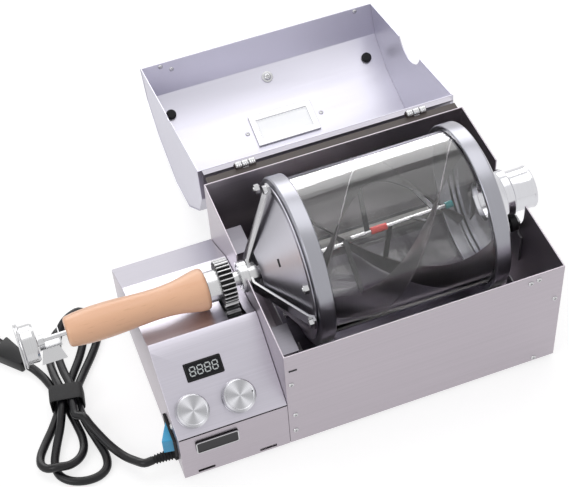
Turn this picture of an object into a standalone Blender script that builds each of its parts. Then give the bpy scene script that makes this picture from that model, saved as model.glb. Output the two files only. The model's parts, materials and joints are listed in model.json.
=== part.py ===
"""Home coffee bean roaster: a glass drum on a geared neck, in an open stainless box with a hinged lid.

Frame: +X runs along the drum axis from the handle to the outlet, +Y runs to the back, +Z is up.
The origin is on the underside of the housing, in the middle of its length and depth. Metres.
"""

import math

import bmesh
import bpy
import numpy as np
from mathutils import Matrix, Vector

# Sheet metal and clearances
sheet = 0.0012
lid_sheet = 0.0010
gap = 0.0003
running_gap = 0.0006
cut_over = 0.004

# Housing
chamber_length = 0.240
case_length = 0.092
body_depth = 0.197
chamber_height = 0.1175
case_front_height = 0.055
ridge_before_axis = 0.0385
panel_rise = 0.041
ridge_run = 0.0065
ridge_rise = 0.0022
roof_break_run = 0.0120
roof_break_drop = 0.0072
roof_mid_run = 0.0824
roof_mid_drop = 0.0220
case_back_height = 0.0468
foot_height = 0.005
foot_radius = 0.009
foot_inset = 0.016

vent_length = 0.040
vent_width = 0.004
vent_pitch = 0.016
vent_count = 6
shelf_height = 0.084
shelf_drop = 0.020
shelf_reach = 0.020
shelf_half = 0.072
shelf_clear_half = 0.042
case_slot_length = 0.0145
case_slot_height = 0.0032
case_slot_base = 0.0022
case_slot_inset = 0.012
gear_opening_front = 0.031
gear_opening_back = 0.018

# Drum line
axis_height = 0.1056
neck_radius = 0.006
neck_bore_radius = 0.0032
bearing_radius = 0.0132
bearing_width = 0.007
left_notch_radius = 0.0138
right_notch_radius = 0.028

# Drum
ring_radius = 0.072
ring_width = 0.0136
ring_lip_radius = 0.0615
ring_lip = 0.0034
glass_radius = 0.067
glass_wall = 0.003
left_ring_from_seam = 0.0408
right_ring_from_seam = 0.1932
cone_small_radius = 0.0204
cone_length = 0.0285
cone_sheet = 0.0014
cap_flange_radius = 0.066
outlet_radius = 0.018
outlet_wall = 0.0015
outlet_collar_radius = 0.0215
outlet_from_seam = 0.257
outlet_flare_length = 0.0125
outlet_collar_length = 0.0065
hub_radius = 0.0095
hub_length = 0.007
arm_width = 0.011
arm_thickness = 0.002
arm_foot_radius = 0.069
nut_radius = 0.0038
nut_height = 0.0035
vane_inner_radius = 0.042
vane_outer_radius = 0.0632
vane_sheet = 0.0012
vane_twist_degrees = -220.0
vane_start_degrees = -83.0
vane_steps = 20
arm_count = 3
first_arm_degrees = 60.0

# Gear train
gear_module = 0.00125
gear_teeth = 30
pinion_teeth = 12
gear_width = 0.0114
gear_backlash = 0.0003
gear_from_seam = 0.0096
hub_sleeve_radius = 0.013
hub_sleeve_length = 0.0100
pinion_direction_degrees = 38.0
motor_radius = 0.0215
motor_length = 0.020
motor_shaft_radius = 0.0030
motor_shaft_drop = 0.019
motor_from_seam = 0.034
motor_plate_half = 0.029
motor_plate_drop = 0.0030
motor_foot_reach = 0.014

# Handle and thermometer
handle_length = 0.1177
handle_widest = 0.0177
handle_bore_radius = 0.0028
handle_from_seam = 0.0313
handle_socket = 0.022
dial_radius = 0.0186
dial_depth = 0.0085
dial_from_handle = 0.0390
dial_wall = 0.0014
stem_radius = 0.002
stem_neck_radius = 0.0042
stem_neck_length = 0.006
stem_into_drum = 0.053
clip_ear = 0.0065
clip_width = 0.0095
clip_web_drop = 0.0075
clip_sheet = 0.0008
clip_length = 0.0185
thumb_half_wide = 0.0105
thumb_length = 0.0128

# Panel parts, placed along the slope of the panel
panel_part_from_left = 0.0372
knob_spacing = 0.0388
knob_slope_place = 0.0191
display_slope_place = 0.0487
display_length = 0.030
display_width = 0.014
knob_radius = 0.0138
knob_height = 0.012
pot_radius = 0.0085
pot_length = 0.010
pot_shaft_radius = 0.003
pot_neck_radius = 0.0045
rocker_from_front = 0.0253
rocker_z = 0.0295
rocker_body_length = 0.028
rocker_body_width = 0.021

knob_skirt_lift = 0.0006
pot_neck_top = 0.0024
display_board_over = 0.004
display_depth = 0.006
display_proud = 0.0004
badge_length = 0.036
badge_height = 0.0145
badge_sheet = 0.0012
badge_corner = 0.0022
badge_from_left = 0.0312
badge_middle_height = 0.0385
rocker_flange = 0.0022
rocker_depth = 0.016
rocker_wall = 0.0016
rocker_back_wall = 0.004
rocker_proud = 0.0110
rocker_dish = 0.0045
rocker_pivot_inward = 0.0048
rocker_tail = 0.0062

# Control board
circuit_sheet = 0.0016
circuit_height = 0.008
circuit_margin = 0.010
standoff_radius = 0.003
motor_clear = 0.017
relay_length = 0.019
relay_width = 0.015
relay_height = 0.015

# Lid
hinge_from_back = 0.0095
hinge_height_over_rim = 0.0001
lid_open_degrees = 193.3
lid_rim_back = 0.0096
lid_rim_front = 0.208
lid_skirt_height = 0.0324
lid_skirt_lean = 0.004
lid_slope_height = 0.061
lid_slope_run = 0.025
lid_top_height = 0.087
lid_top_run = 0.0475
lid_rim_lift = 0.0005
window_length = 0.064
window_width = 0.034
window_frame_wall = 0.006
window_slope_place = 0.0268
knuckle_radius = 0.003
hinge_pin_radius = 0.0012
hinge_half_spacing = 0.0795
hinge_length = 0.0184
hinge_strip_margin = 0.004
hinge_strip_leg = 0.016
window_frame_sheet = 0.0020
lid_knob_up = 0.0134
lid_knob_height = 0.0240
lid_knob_radius = 0.0105

# Heating
heater_radius = 0.005
heater_cap_radius = 0.007
heater_cap_length = 0.012
heater_offset = 0.0575
heater_height = 0.042
holder_height = 0.052
holder_half_width = 0.067
holder_dip_half = 0.040
holder_dip_height = 0.026
tray_height = 0.014
tray_rise = 0.020
tray_half_floor = 0.062
tray_flare = 0.012

# Outlet rollers
roller_radius = 0.0072
roller_length = 0.006
stud_radius = 0.002
roller_degrees = 38.0
roller_bracket_sheet = 0.002
roller_bracket_half = 0.030
roller_bracket_low = 0.050
roller_bracket_under_axis = 0.026

# Cord
relief_from_front = 0.0185
relief_z = 0.0125
relief_length = 0.020
relief_radius = 0.005
relief_tip_radius = 0.0038
relief_shank_radius = 0.0036
cord_diameter = 0.0072
strand_gap = 0.0017
floor_gap = 0.0001
slot_step = 0.0090
hank_from_left = 0.0700
hank_back = 0.0120
hank_turn_degrees = -10.0
tie_length = 0.0160
tie_sheet = 0.0010
tie_reach = 0.030
climb_ease = 0.009
climb_slope = 0.55
lobe_points = 13
short_loop = {"length": 0.0610, "half": 0.0148, "lean": -8.0, "round_share": 0.3}
long_loop = {"length": 0.0730, "half": 0.0165, "lean": 4.5, "round_share": 0.7}
upper_loop = {"length": 0.0700, "half": 0.0130, "lean": 9.0, "round_share": 0.2}
outer_loop = {"length": 0.0740, "half": 0.0150, "lean": 11.0, "round_share": 0.2}
under_tip_share = 0.72
plug_x = -0.2600
plug_y = 0.0620
plug_length = 0.032
plug_height = 0.013
plug_narrow = 0.011
plug_wide = 0.021
pin_spacing = 0.0127
pin_length = 0.0150
pin_width = 0.0062
pin_sheet = 0.0015
tail_route = [(-0.2530, 0.0515), (-0.2480, 0.0400)]
lead_route = [(-0.2283, -0.0175, 0.0046), (-0.2250, -0.0265, 0.0012), (-0.2209, -0.0364, -0.0009),
              (-0.2162, -0.0464, -0.0011), (-0.2109, -0.0560, -0.0002), (-0.2056, -0.0646, 0.0024),
              (-0.1998, -0.0724, 0.0066)]

round_steps = 28
ring_steps = 40


def share(values, size):
    """Shares of one size as real lengths."""
    return [value * size for value in values]


# Places worked out from the sizes
body_left = -(case_length + chamber_length) / 2
body_right = -body_left
seam = body_left + case_length
front = -body_depth / 2
back = body_depth / 2
chamber_middle = (seam + body_right) / 2
glass_inner_radius = glass_radius - glass_wall
left_ring_start = seam + left_ring_from_seam
right_ring_start = seam + right_ring_from_seam
right_ring_end = right_ring_start + ring_width
pitch_radius = gear_module * gear_teeth / 2
pinion_pitch_radius = gear_module * pinion_teeth / 2
pinion_distance = pitch_radius + pinion_pitch_radius + gear_backlash
panel_run = body_depth / 2 - ridge_before_axis
slope_angle = math.atan2(panel_rise, panel_run)
rocker_y = front + rocker_from_front
relief_y = front + relief_from_front
dial_from_seam = handle_from_seam + handle_length + dial_from_handle
hinge_y = back + hinge_from_back
hinge_z = chamber_height + hinge_height_over_rim
gear_finish = seam - gear_from_seam
gear_start = gear_finish - gear_width
pinion_turn = math.radians(pinion_direction_degrees)
pinion_y = -pinion_distance * math.sin(pinion_turn)
pinion_z = axis_height - pinion_distance * math.cos(pinion_turn)
panel_part_x = body_left + panel_part_from_left
hank_middle = np.array([body_left - hank_from_left, hank_back])
floor_line = -foot_height + cord_diameter / 2 + floor_gap
plug_middle = -foot_height + plug_height / 2 + floor_gap


# Scene, materials and collections

def clear_scene():
    """Remove every object that the file starts with."""
    for old in list(bpy.data.objects):
        bpy.data.objects.remove(old, do_unlink=True)


clear_scene()
parts = bpy.data.collections.new("home_coffee_bean_roaster")
cutters = bpy.data.collections.new("cutters")
bpy.context.scene.collection.children.link(parts)
bpy.context.scene.collection.children.link(cutters)


def material(name, colour, roughness, metallic, alpha=1.0):
    """A Principled BSDF with a plain colour."""
    made = bpy.data.materials.new(name)
    made.use_nodes = True
    shader = made.node_tree.nodes["Principled BSDF"]
    shader.inputs["Base Color"].default_value = (*colour, 1.0)
    shader.inputs["Roughness"].default_value = roughness
    shader.inputs["Metallic"].default_value = metallic
    shader.inputs["Alpha"].default_value = alpha
    return made


def finish_of(name):
    """One material for each finish, made the first time that it is asked for."""
    colour, roughness, metallic, alpha = FINISHES[name]
    return bpy.data.materials.get(name) or material(name, colour, roughness, metallic, alpha)


FINISHES = {
    "stainless": ((0.62, 0.61, 0.63), 0.32, 1.0, 1.0),
    "aluminium": ((0.78, 0.78, 0.79), 0.25, 1.0, 1.0),
    "steel": ((0.55, 0.55, 0.57), 0.30, 1.0, 1.0),
    "dark_steel": ((0.10, 0.10, 0.11), 0.45, 0.8, 1.0),
    "glass": ((0.86, 0.90, 0.92), 0.03, 0.0, 0.25),
    "beech": ((0.80, 0.56, 0.34), 0.55, 0.0, 1.0),
    "black_plastic": ((0.02, 0.02, 0.022), 0.40, 0.0, 1.0),
    "rubber": ((0.03, 0.03, 0.032), 0.75, 0.0, 1.0),
    "blue_plastic": ((0.02, 0.33, 0.72), 0.35, 0.0, 1.0),
    "ceramic": ((0.88, 0.86, 0.82), 0.60, 0.0, 1.0),
    "board": ((0.03, 0.20, 0.08), 0.55, 0.0, 1.0),
}


# Objects and modifiers

def add_object(name, mesh, collection=parts):
    """Link a mesh as an object."""
    made = bpy.data.objects.new(name, mesh)
    collection.objects.link(made)
    return made


def mesh_from(bm, name):
    """Turn a bmesh into mesh data."""
    mesh = bpy.data.meshes.new(name)
    bm.to_mesh(mesh)
    bm.free()
    return mesh


def dress(made, finish, smooth_degrees=35.0):
    """Give an object its material, and smooth its round faces."""
    made.data.materials.clear()
    made.data.materials.append(finish_of(finish))
    made.data.shade_smooth()
    made.data.set_sharp_from_angle(angle=math.radians(smooth_degrees))
    return made


def block(name, low, high, finish=None, collection=parts):
    """A box between two corners."""
    size = Vector(high) - Vector(low)
    bm = bmesh.new()
    bmesh.ops.create_cube(bm, size=1.0)
    bmesh.ops.scale(bm, vec=size, verts=bm.verts)
    made = add_object(name, mesh_from(bm, name), collection)
    made.location = (Vector(low) + Vector(high)) / 2
    if finish:
        dress(made, finish)
    return made


def hide_tool(tool):
    """A cutter or a joined shape is only a guide for its modifier."""
    for owner in list(tool.users_collection):
        owner.objects.unlink(tool)
    cutters.objects.link(tool)
    tool.hide_render = True
    tool.display_type = "WIRE"
    return tool


def boolean(target, tool, operation):
    """Cut a tool from a target, or join it to the target."""
    hide_tool(tool)
    change = target.modifiers.new(operation.lower(), "BOOLEAN")
    change.operation = operation
    change.solver = "EXACT"
    change.object = tool
    return target


def cut(target, *tools):
    """Cut every tool from the target."""
    for tool in tools:
        boolean(target, tool, "DIFFERENCE")
    return target


def join(target, *tools):
    """Join every tool to the target."""
    for tool in tools:
        boolean(target, tool, "UNION")
    return target


def under(child, parent):
    """Parent a piece to an empty without a change of its local place."""
    child.parent = parent
    return child


AXIS_TURNS = {
    "x": Matrix.Rotation(math.pi / 2, 4, "Y"),
    "y": Matrix.Rotation(-math.pi / 2, 4, "X"),
    "z": Matrix.Identity(4),
}


def turned(name, profile, place=(0, 0, 0), axis="x", finish=None, steps=round_steps, closed=True):
    """A turned piece. The profile holds (radius, height) pairs, down the outer side and up the bore.

    A closed profile has a bore. An open one starts and ends on the axis.
    """
    bm = bmesh.new()
    points = [bm.verts.new((radius, 0, height)) for radius, height in profile]
    for first, second in zip(points, points[1:]):
        bm.edges.new((first, second))
    if closed:
        bm.edges.new((points[-1], points[0]))
    made = add_object(name, mesh_from(bm, name))
    spin = made.modifiers.new("turn", "SCREW")
    spin.axis = "Z"
    spin.steps = steps
    spin.render_steps = steps
    spin.use_merge_vertices = True
    spin.merge_threshold = 0.00001
    made.matrix_world = Matrix.Translation(place) @ AXIS_TURNS[axis]
    if finish:
        dress(made, finish)
        spin.use_smooth_shade = True
    return made


def rod(name, radius, start, end, place, axis="x", finish=None, steps=round_steps):
    """A plain cylinder from start to end along its axis."""
    profile = [(0, end), (radius, end), (radius, start), (0, start)]
    return turned(name, profile, place, axis, finish, steps, closed=False)


def sleeve(name, outer, inner, start, end, place, axis="x", finish=None, steps=round_steps):
    """A plain tube from start to end along its axis."""
    profile = [(outer, end), (outer, start), (inner, start), (inner, end)]
    return turned(name, profile, place, axis, finish, steps)


def flat_plate(name, outlines, thickness, finish=None):
    """A flat outline with its holes, in local XY, centred on its thickness."""
    curve = bpy.data.curves.new(name, "CURVE")
    curve.dimensions = "2D"
    curve.fill_mode = "BOTH"
    curve.extrude = thickness / 2
    for outline in outlines:
        spline = curve.splines.new("POLY")
        spline.points.add(len(outline) - 1)
        for point, (x, y) in zip(spline.points, outline):
            point.co = (x, y, 0, 1)
        spline.use_cyclic_u = True
    shape = bpy.data.objects.new(name + "_outline", curve)
    bpy.context.scene.collection.objects.link(shape)
    bpy.context.view_layer.update()
    evaluated = shape.evaluated_get(bpy.context.evaluated_depsgraph_get())
    mesh = bpy.data.meshes.new_from_object(evaluated)
    bm = bmesh.new()
    bm.from_mesh(mesh)
    bmesh.ops.remove_doubles(bm, verts=bm.verts, dist=0.000001)
    bmesh.ops.recalc_face_normals(bm, faces=bm.faces)
    made = add_object(name, mesh_from(bm, name))
    bpy.data.objects.remove(shape, do_unlink=True)
    if finish:
        dress(made, finish)
    return made


def bent_sheet(name, profile, start, end, thickness, finish=None):
    """A bent sheet: a (y, z) profile drawn along X. A profile from front to back has its wall below it."""
    bm = bmesh.new()
    near = [bm.verts.new((start, y, z)) for y, z in profile]
    far = [bm.verts.new((end, y, z)) for y, z in profile]
    for place in range(len(profile) - 1):
        bm.faces.new((near[place], far[place], far[place + 1], near[place + 1]))
    made = add_object(name, mesh_from(bm, name))
    wall = made.modifiers.new("wall", "SOLIDIFY")
    wall.thickness = thickness
    wall.offset = -1.0
    wall.use_even_offset = True
    wall.use_quality_normals = True
    if finish:
        dress(made, finish)
    return made


def circle_points(radius, count, middle=(0, 0), start=0.0, sweep=2 * math.pi):
    """Points of a circle or an arc. An arc includes its last point."""
    whole = abs(sweep) >= 2 * math.pi
    turns = count if whole else count - 1
    angles = [start + sweep * step / turns for step in range(count)]
    return [(middle[0] + radius * math.cos(a), middle[1] + radius * math.sin(a)) for a in angles]


def rectangle_points(length, width, middle=(0, 0)):
    """Corners of a rectangle."""
    x, y = middle
    return [(x - length / 2, y - width / 2), (x + length / 2, y - width / 2),
            (x + length / 2, y + width / 2), (x - length / 2, y + width / 2)]


def rounded_rectangle_points(length, width, corner, middle=(0, 0), count=4):
    """A rectangle with round corners."""
    points = []
    quarter = math.pi / 2
    signs = [(1, 1), (-1, 1), (-1, -1), (1, -1)]
    for turn, (sx, sy) in enumerate(signs):
        centre = (middle[0] + sx * (length / 2 - corner), middle[1] + sy * (width / 2 - corner))
        points += circle_points(corner, count, centre, turn * quarter, quarter)
    return points


def inset_line(points, distance):
    """An open line moved sideways by a distance, to the right of its run."""
    moved = []
    for place, (x, y) in enumerate(points):
        before = Vector(points[max(place - 1, 0)])
        after = Vector(points[min(place + 1, len(points) - 1)])
        here = Vector((x, y))
        first = (here - before) if place else (after - here)
        last = (after - here) if place < len(points) - 1 else first
        first, last = first.normalized(), last.normalized()
        middle = (first + last).normalized()
        side = Vector((middle.y, -middle.x))
        reach = distance / side.dot(Vector((first.y, -first.x)))
        moved.append((x + side.x * reach, y + side.y * reach))
    return moved


def empty(name, place, turn=0.0):
    """A parent frame, turned about X."""
    made = bpy.data.objects.new(name, None)
    parts.objects.link(made)
    made.location = place
    made.rotation_euler = (turn, 0, 0)
    return made


# Chamber

def roof_profile(drop=0.0):
    """The control cover's outline from its front bend to its back edge, as (y, z)."""
    fold_y = front + panel_run
    fold_z = case_front_height + panel_rise
    crest_y = fold_y + ridge_run
    crest_z = fold_z + ridge_rise
    break_y = crest_y + roof_break_run
    break_z = crest_z - roof_break_drop
    mid_y = crest_y + roof_mid_run
    mid_z = crest_z - roof_mid_drop
    line = [(front, case_front_height), (fold_y, fold_z), (crest_y, crest_z),
            (break_y, break_z), (mid_y, mid_z), (back, case_back_height)]
    return [(y, z - drop) for y, z in line]


def make_chamber():
    """The open stainless box, with its two notches on the drum line and vents in its floor."""
    bm = bmesh.new()
    bmesh.ops.create_cube(bm, size=1.0)
    top = [face for face in bm.faces if face.normal.z > 0.5]
    bmesh.ops.delete(bm, geom=top, context="FACES_ONLY")
    bmesh.ops.scale(bm, vec=(chamber_length, body_depth, chamber_height), verts=bm.verts)
    bmesh.ops.translate(bm, vec=(chamber_middle, 0, chamber_height / 2), verts=bm.verts)
    chamber = add_object("chamber_box", mesh_from(bm, "chamber_box"))
    wall = chamber.modifiers.new("wall", "SOLIDIFY")
    wall.thickness = sheet
    wall.offset = -1.0
    wall.use_even_offset = True
    dress(chamber, "stainless")
    for side, radius in ((seam, left_notch_radius), (body_right, right_notch_radius)):
        start, end = side - cut_over, side + cut_over
        round_cut = rod("notch_round", radius, start, end, (0, 0, axis_height), steps=ring_steps)
        top_cut = block("notch_top", (start, -radius, axis_height), (end, radius, chamber_height + cut_over))
        cut(chamber, round_cut, top_cut)
    for row in (-1, 1):
        for place in range(vent_count):
            x = chamber_middle + vent_pitch * (place - (vent_count - 1) / 2)
            y = row * body_depth / 4
            low = (x - vent_width / 2, y - vent_length / 2, -cut_over)
            high = (x + vent_width / 2, y + vent_length / 2, cut_over)
            cut(chamber, block("vent", low, high))


def make_shelf_bracket():
    """A bracket on the inside of the left wall, cut away around the drum's cone."""
    wall_face = seam + sheet + gap
    flange = block("shelf_bracket", (wall_face, -shelf_half, shelf_height - shelf_drop),
                   (wall_face + sheet, shelf_half, shelf_height), "stainless")
    shelf = block("shelf", (wall_face, -shelf_half, shelf_height - sheet),
                  (wall_face + shelf_reach, shelf_half, shelf_height))
    join(flange, shelf)
    clear = block("cone_clear", (wall_face + sheet, -shelf_clear_half, shelf_height - shelf_drop),
                  (wall_face + shelf_reach + cut_over, shelf_clear_half, shelf_height + cut_over))
    cut(flange, clear)


def make_case():
    """The control case: front, left wall, floor and back, open at the top and towards the chamber."""
    drop = (sheet + gap) / math.cos(slope_angle)
    outline = [(front, 0)] + roof_profile(drop) + [(back, 0)]
    bm = bmesh.new()
    start, end = body_left, seam - gap
    near = [bm.verts.new((start, y, z)) for y, z in outline]
    far = [bm.verts.new((end, y, z)) for y, z in outline]
    bm.faces.new(list(reversed(near)))
    last = len(outline) - 1
    for first, second in ((1, 0), (last, last - 1), (0, last)):
        bm.faces.new((near[first], near[second], far[second], far[first]))
    loose = [vert for vert in bm.verts if not vert.link_faces]
    bmesh.ops.delete(bm, geom=loose, context="VERTS")
    bmesh.ops.recalc_face_normals(bm, faces=bm.faces)
    outward = next(face for face in bm.faces if abs(face.normal.x) > 0.5)
    if outward.normal.x > 0:
        bmesh.ops.reverse_faces(bm, faces=bm.faces)
    case = add_object("control_case", mesh_from(bm, "control_case"))
    wall = case.modifiers.new("wall", "SOLIDIFY")
    wall.thickness = sheet
    wall.offset = -1.0
    wall.use_even_offset = True
    dress(case, "stainless")
    slot_reach = case_slot_inset + case_slot_length / 2
    for middle in (body_left + slot_reach, seam - slot_reach):
        low = (middle - case_slot_length / 2, front - cut_over, case_slot_base)
        high = (middle + case_slot_length / 2, front + cut_over, case_slot_base + case_slot_height)
        cut(case, block("bottom_slot", low, high))
    rocker_cut = block("rocker_cut",
                       (body_left - cut_over, rocker_y - rocker_body_length / 2 - gap,
                        rocker_z - rocker_body_width / 2 - gap),
                       (body_left + cut_over, rocker_y + rocker_body_length / 2 + gap,
                        rocker_z + rocker_body_width / 2 + gap))
    relief_cut = rod("relief_cut", relief_shank_radius + gap, body_left - cut_over, body_left + cut_over,
                     (0, relief_y, relief_z))
    cut(case, rocker_cut, relief_cut)


def make_cover():
    """The folded cover: control panel, ridge and roof, with its openings."""
    cover = bent_sheet("control_cover", roof_profile(), body_left, seam - gap, sheet, "stainless")
    opening = block("gear_opening",
                    (gear_start - 3 * running_gap, -gear_opening_front, axis_height - ring_radius / 2),
                    (gear_finish + 3 * running_gap, gear_opening_back, axis_height + ring_radius))
    cut(cover, opening)
    window = block("display_cut",
                   (panel_part_x - display_length / 2 - gap, display_slope_place - display_width / 2 - gap,
                    -cut_over),
                   (panel_part_x + display_length / 2 + gap, display_slope_place + display_width / 2 + gap,
                    cut_over))
    under(window, panel_frame)
    cut(cover, window)
    for side in (-1, 1):
        shaft = rod("shaft_cut", pot_neck_radius + gap, -cut_over, cut_over,
                    (panel_part_x + side * knob_spacing / 2, knob_slope_place, 0), "z")
        under(shaft, panel_frame)
        cut(cover, shaft)


def make_feet():
    """Four rubber feet under the housing."""
    for name_x, x in (("left", body_left + foot_inset), ("right", body_right - foot_inset)):
        for name_y, y in (("front", front + foot_inset), ("rear", back - foot_inset)):
            profile = [(0, -gap), (foot_radius * 0.86, -gap), (foot_radius, -foot_height), (0, -foot_height)]
            turned(f"foot_{name_y}_{name_x}", profile, (x, y, 0), "z", "rubber", 20, closed=False)


# Control panel parts

def make_display():
    """The four digit display: a block in the cover's window on its small board."""
    board_sheet, board_under, face = circuit_sheet, display_depth, display_proud
    board_over = display_board_over
    display = block("display_module",
                    (panel_part_x - display_length / 2, display_slope_place - display_width / 2,
                     -board_under),
                    (panel_part_x + display_length / 2, display_slope_place + display_width / 2, face),
                    "black_plastic")
    board = block("display_board",
                  (panel_part_x - display_length / 2 - board_over,
                   display_slope_place - display_width / 2 - board_over / 2, -sheet - gap - board_sheet),
                  (panel_part_x + display_length / 2 + board_over,
                   display_slope_place + display_width / 2 + board_over / 2, -sheet - gap))
    under(display, panel_frame)
    under(board, panel_frame)
    join(display, board)


def make_knob(name, x):
    """A spun aluminium knob with a shallow dished top and a blind bore."""
    skirt_lift = knob_skirt_lift
    taper = knob_radius * 0.04
    edge = knob_height * 0.08
    bore = pot_shaft_radius + gap
    bore_top = knob_height * 0.72
    profile = [(0, knob_height - edge * 0.5), (knob_radius * 0.8, knob_height),
               (knob_radius - taper - edge, knob_height), (knob_radius - taper, knob_height - edge),
               (knob_radius, skirt_lift + edge), (knob_radius, skirt_lift),
               (knob_radius - 2 * edge, skirt_lift),
               (knob_radius - 2 * edge, knob_height * 0.25), (bore, knob_height * 0.25),
               (bore, bore_top), (0, bore_top)]
    knob = turned(name, profile, (0, 0, 0), "z", "aluminium", closed=False)
    knob.matrix_world = Matrix.Translation((x, knob_slope_place, 0))
    under(knob, panel_frame)
    return knob


def make_potentiometer(name, x):
    """A potentiometer hanging under the panel, with its threaded neck and shaft through it."""
    shaft_top = knob_height * 0.6
    neck_top = pot_neck_top
    top = -sheet - gap
    profile = [(0, shaft_top), (pot_shaft_radius, shaft_top), (pot_shaft_radius, neck_top),
               (pot_neck_radius, neck_top), (pot_neck_radius, top), (pot_radius, top),
               (pot_radius, top - pot_length), (0, top - pot_length)]
    pot = turned(name, profile, (0, 0, 0), "z", "dark_steel", 24, closed=False)
    pot.matrix_world = Matrix.Translation((x, knob_slope_place, 0))
    under(pot, panel_frame)


def make_badge():
    """The bare black plate on the front of the case."""
    outline = rounded_rectangle_points(badge_length, badge_height, badge_corner)
    badge = flat_plate("badge_plate", [outline], badge_sheet, "black_plastic")
    badge.rotation_euler = (math.pi / 2, 0, 0)
    badge.location = (body_left + badge_from_left, front - gap - badge_sheet / 2, badge_middle_height)


def make_rocker():
    """The rocker switch on the left wall: a housing with a flange, and its blue paddle."""
    flange, depth, wall, back_wall = rocker_flange, rocker_depth, rocker_wall, rocker_back_wall
    x = body_left
    length, width = rocker_body_length, rocker_body_width
    rim = 2 * gap
    housing = block("rocker_housing",
                    (x - gap - flange, rocker_y - length / 2 - rim, rocker_z - width / 2 - rim),
                    (x - gap, rocker_y + length / 2 + rim, rocker_z + width / 2 + rim), "black_plastic")
    body = block("rocker_body", (x - gap - flange / 2, rocker_y - length / 2, rocker_z - width / 2),
                 (x + depth, rocker_y + length / 2, rocker_z + width / 2))
    well = block("rocker_well",
                 (x - flange - cut_over, rocker_y - length / 2 + wall, rocker_z - width / 2 + wall),
                 (x + depth - back_wall, rocker_y + length / 2 - wall, rocker_z + width / 2 - wall))
    join(housing, body)
    cut(housing, well)
    half = length / 2 - wall - running_gap
    proud, dish, inward, tail = rocker_proud, rocker_dish, rocker_pivot_inward, rocker_tail
    pivot_x = x + inward
    outline = [(-inward - proud, -half * 0.80), (-inward - proud + dish, 0),
               (-inward - flange * 0.6, half * 0.88),
               (-inward + flange, half), (tail * 0.4, half * 0.5), (tail * 0.4, -half * 0.5),
               (-inward + flange, -half)]
    paddle = flat_plate("rocker_paddle", [outline], width - 2 * wall - 2 * running_gap, "blue_plastic")
    paddle.location = (pivot_x, rocker_y, rocker_z)


# Drive

def gear_outline(teeth, module, phase):
    """Trapezoid teeth: four points for each, thinner than half the pitch so that the mesh runs free."""
    pitch = module * teeth / 2
    root, tip = pitch - 1.2 * module, pitch + 0.92 * module
    step = 2 * math.pi / teeth
    root_share, tip_share = 0.27, 0.10
    points = []
    for tooth in range(teeth):
        middle = phase + tooth * step
        for radius, offset in ((root, -root_share), (tip, -tip_share), (tip, tip_share), (root, root_share)):
            angle = middle + offset * step
            points.append((radius * math.cos(angle), radius * math.sin(angle)))
    return points


def gear_wheel(name, teeth, phase, width, bore, middle_x, place, finish):
    """A toothed wheel on an axis along X. Its outline is drawn in the YZ plane."""
    outlines = [gear_outline(teeth, gear_module, phase), circle_points(bore, 24)]
    wheel = flat_plate(name, outlines, width, finish)
    to_yz = Matrix(((0, 0, 1, 0), (1, 0, 0, 0), (0, 1, 0, 0), (0, 0, 0, 1)))
    wheel.matrix_world = Matrix.Translation((middle_x, *place)) @ to_yz
    return wheel


def make_gears():
    """The drum gear with its set-screw sleeve, and the motor's pinion below its front."""
    direction = math.radians(-90.0 - pinion_direction_degrees)
    middle = (gear_start + gear_finish) / 2
    inside_hub = (neck_radius + hub_sleeve_radius) / 2
    gear = gear_wheel("drum_gear", gear_teeth, direction, gear_width, inside_hub, middle,
                      (0, axis_height), "steel")
    hub = sleeve("gear_sleeve", hub_sleeve_radius, neck_radius + gap, gear_start - hub_sleeve_length,
                 gear_finish + running_gap, (0, 0, axis_height))
    join(gear, hub)
    half_tooth = math.pi / pinion_teeth
    pinion = gear_wheel("motor_pinion", pinion_teeth, direction + math.pi + half_tooth, gear_width,
                        motor_shaft_radius / 2, middle, (pinion_y, pinion_z), "steel")
    shaft = rod("pinion_shaft", motor_shaft_radius, seam - motor_from_seam + gap, gear_finish + running_gap,
                (0, pinion_y, pinion_z))
    join(pinion, shaft)


def make_motor():
    """A flat synchronous gear motor below the pinion's shaft, on its bracket."""
    face = seam - motor_from_seam
    rod("drum_motor", motor_radius, face - motor_length, face,
        (0, pinion_y, pinion_z - motor_shaft_drop), "x", "aluminium", ring_steps)
    plate_start = face + gap
    plate_half, plate_drop, foot_reach = motor_plate_half, motor_plate_drop, motor_foot_reach
    plate = block("motor_bracket", (plate_start, pinion_y - plate_half, sheet + gap),
                  (plate_start + 2 * sheet, pinion_y + plate_half, pinion_z - plate_drop), "steel")
    foot = block("bracket_foot", (plate_start - foot_reach, pinion_y - plate_half, sheet + gap),
                 (plate_start + sheet, pinion_y + plate_half, sheet + gap + 2 * sheet))
    join(plate, foot)
    hole = rod("shaft_notch", motor_shaft_radius + plate_drop, plate_start - cut_over,
               plate_start + 2 * sheet + cut_over, (0, pinion_y, pinion_z))
    cut(plate, hole)


def make_board():
    """The control board on its standoffs, with a relay and a heat sink."""
    board_low, board_sheet, margin, standoff = circuit_height, circuit_sheet, circuit_margin, standoff_radius
    low_x, high_x = body_left + margin, body_left + margin + case_length * 0.42
    low_y, high_y = motor_clear, back - margin
    board = block("control_board", (low_x, low_y, board_low), (high_x, high_y, board_low + board_sheet),
                  "board")
    for x in (low_x + 2 * standoff, high_x - 2 * standoff):
        for y in (low_y + 2 * standoff, high_y - 2 * standoff):
            leg = rod("standoff", standoff, sheet + gap, board_low + board_sheet / 2, (x, y, 0), "z",
                      steps=12)
            join(board, leg)
    relay_x, relay_y = low_x + margin, low_y + margin
    join(board, block("relay", (relay_x, relay_y, board_low + board_sheet / 2),
                      (relay_x + relay_length, relay_y + relay_width, board_low + relay_height)))
    sink_y = high_y - 2 * margin
    join(board, block("heat_sink", (relay_x, sink_y, board_low + board_sheet / 2),
                      (relay_x + relay_length, sink_y + relay_width / 2, board_low + 1.4 * relay_height)))


# Drum

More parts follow.
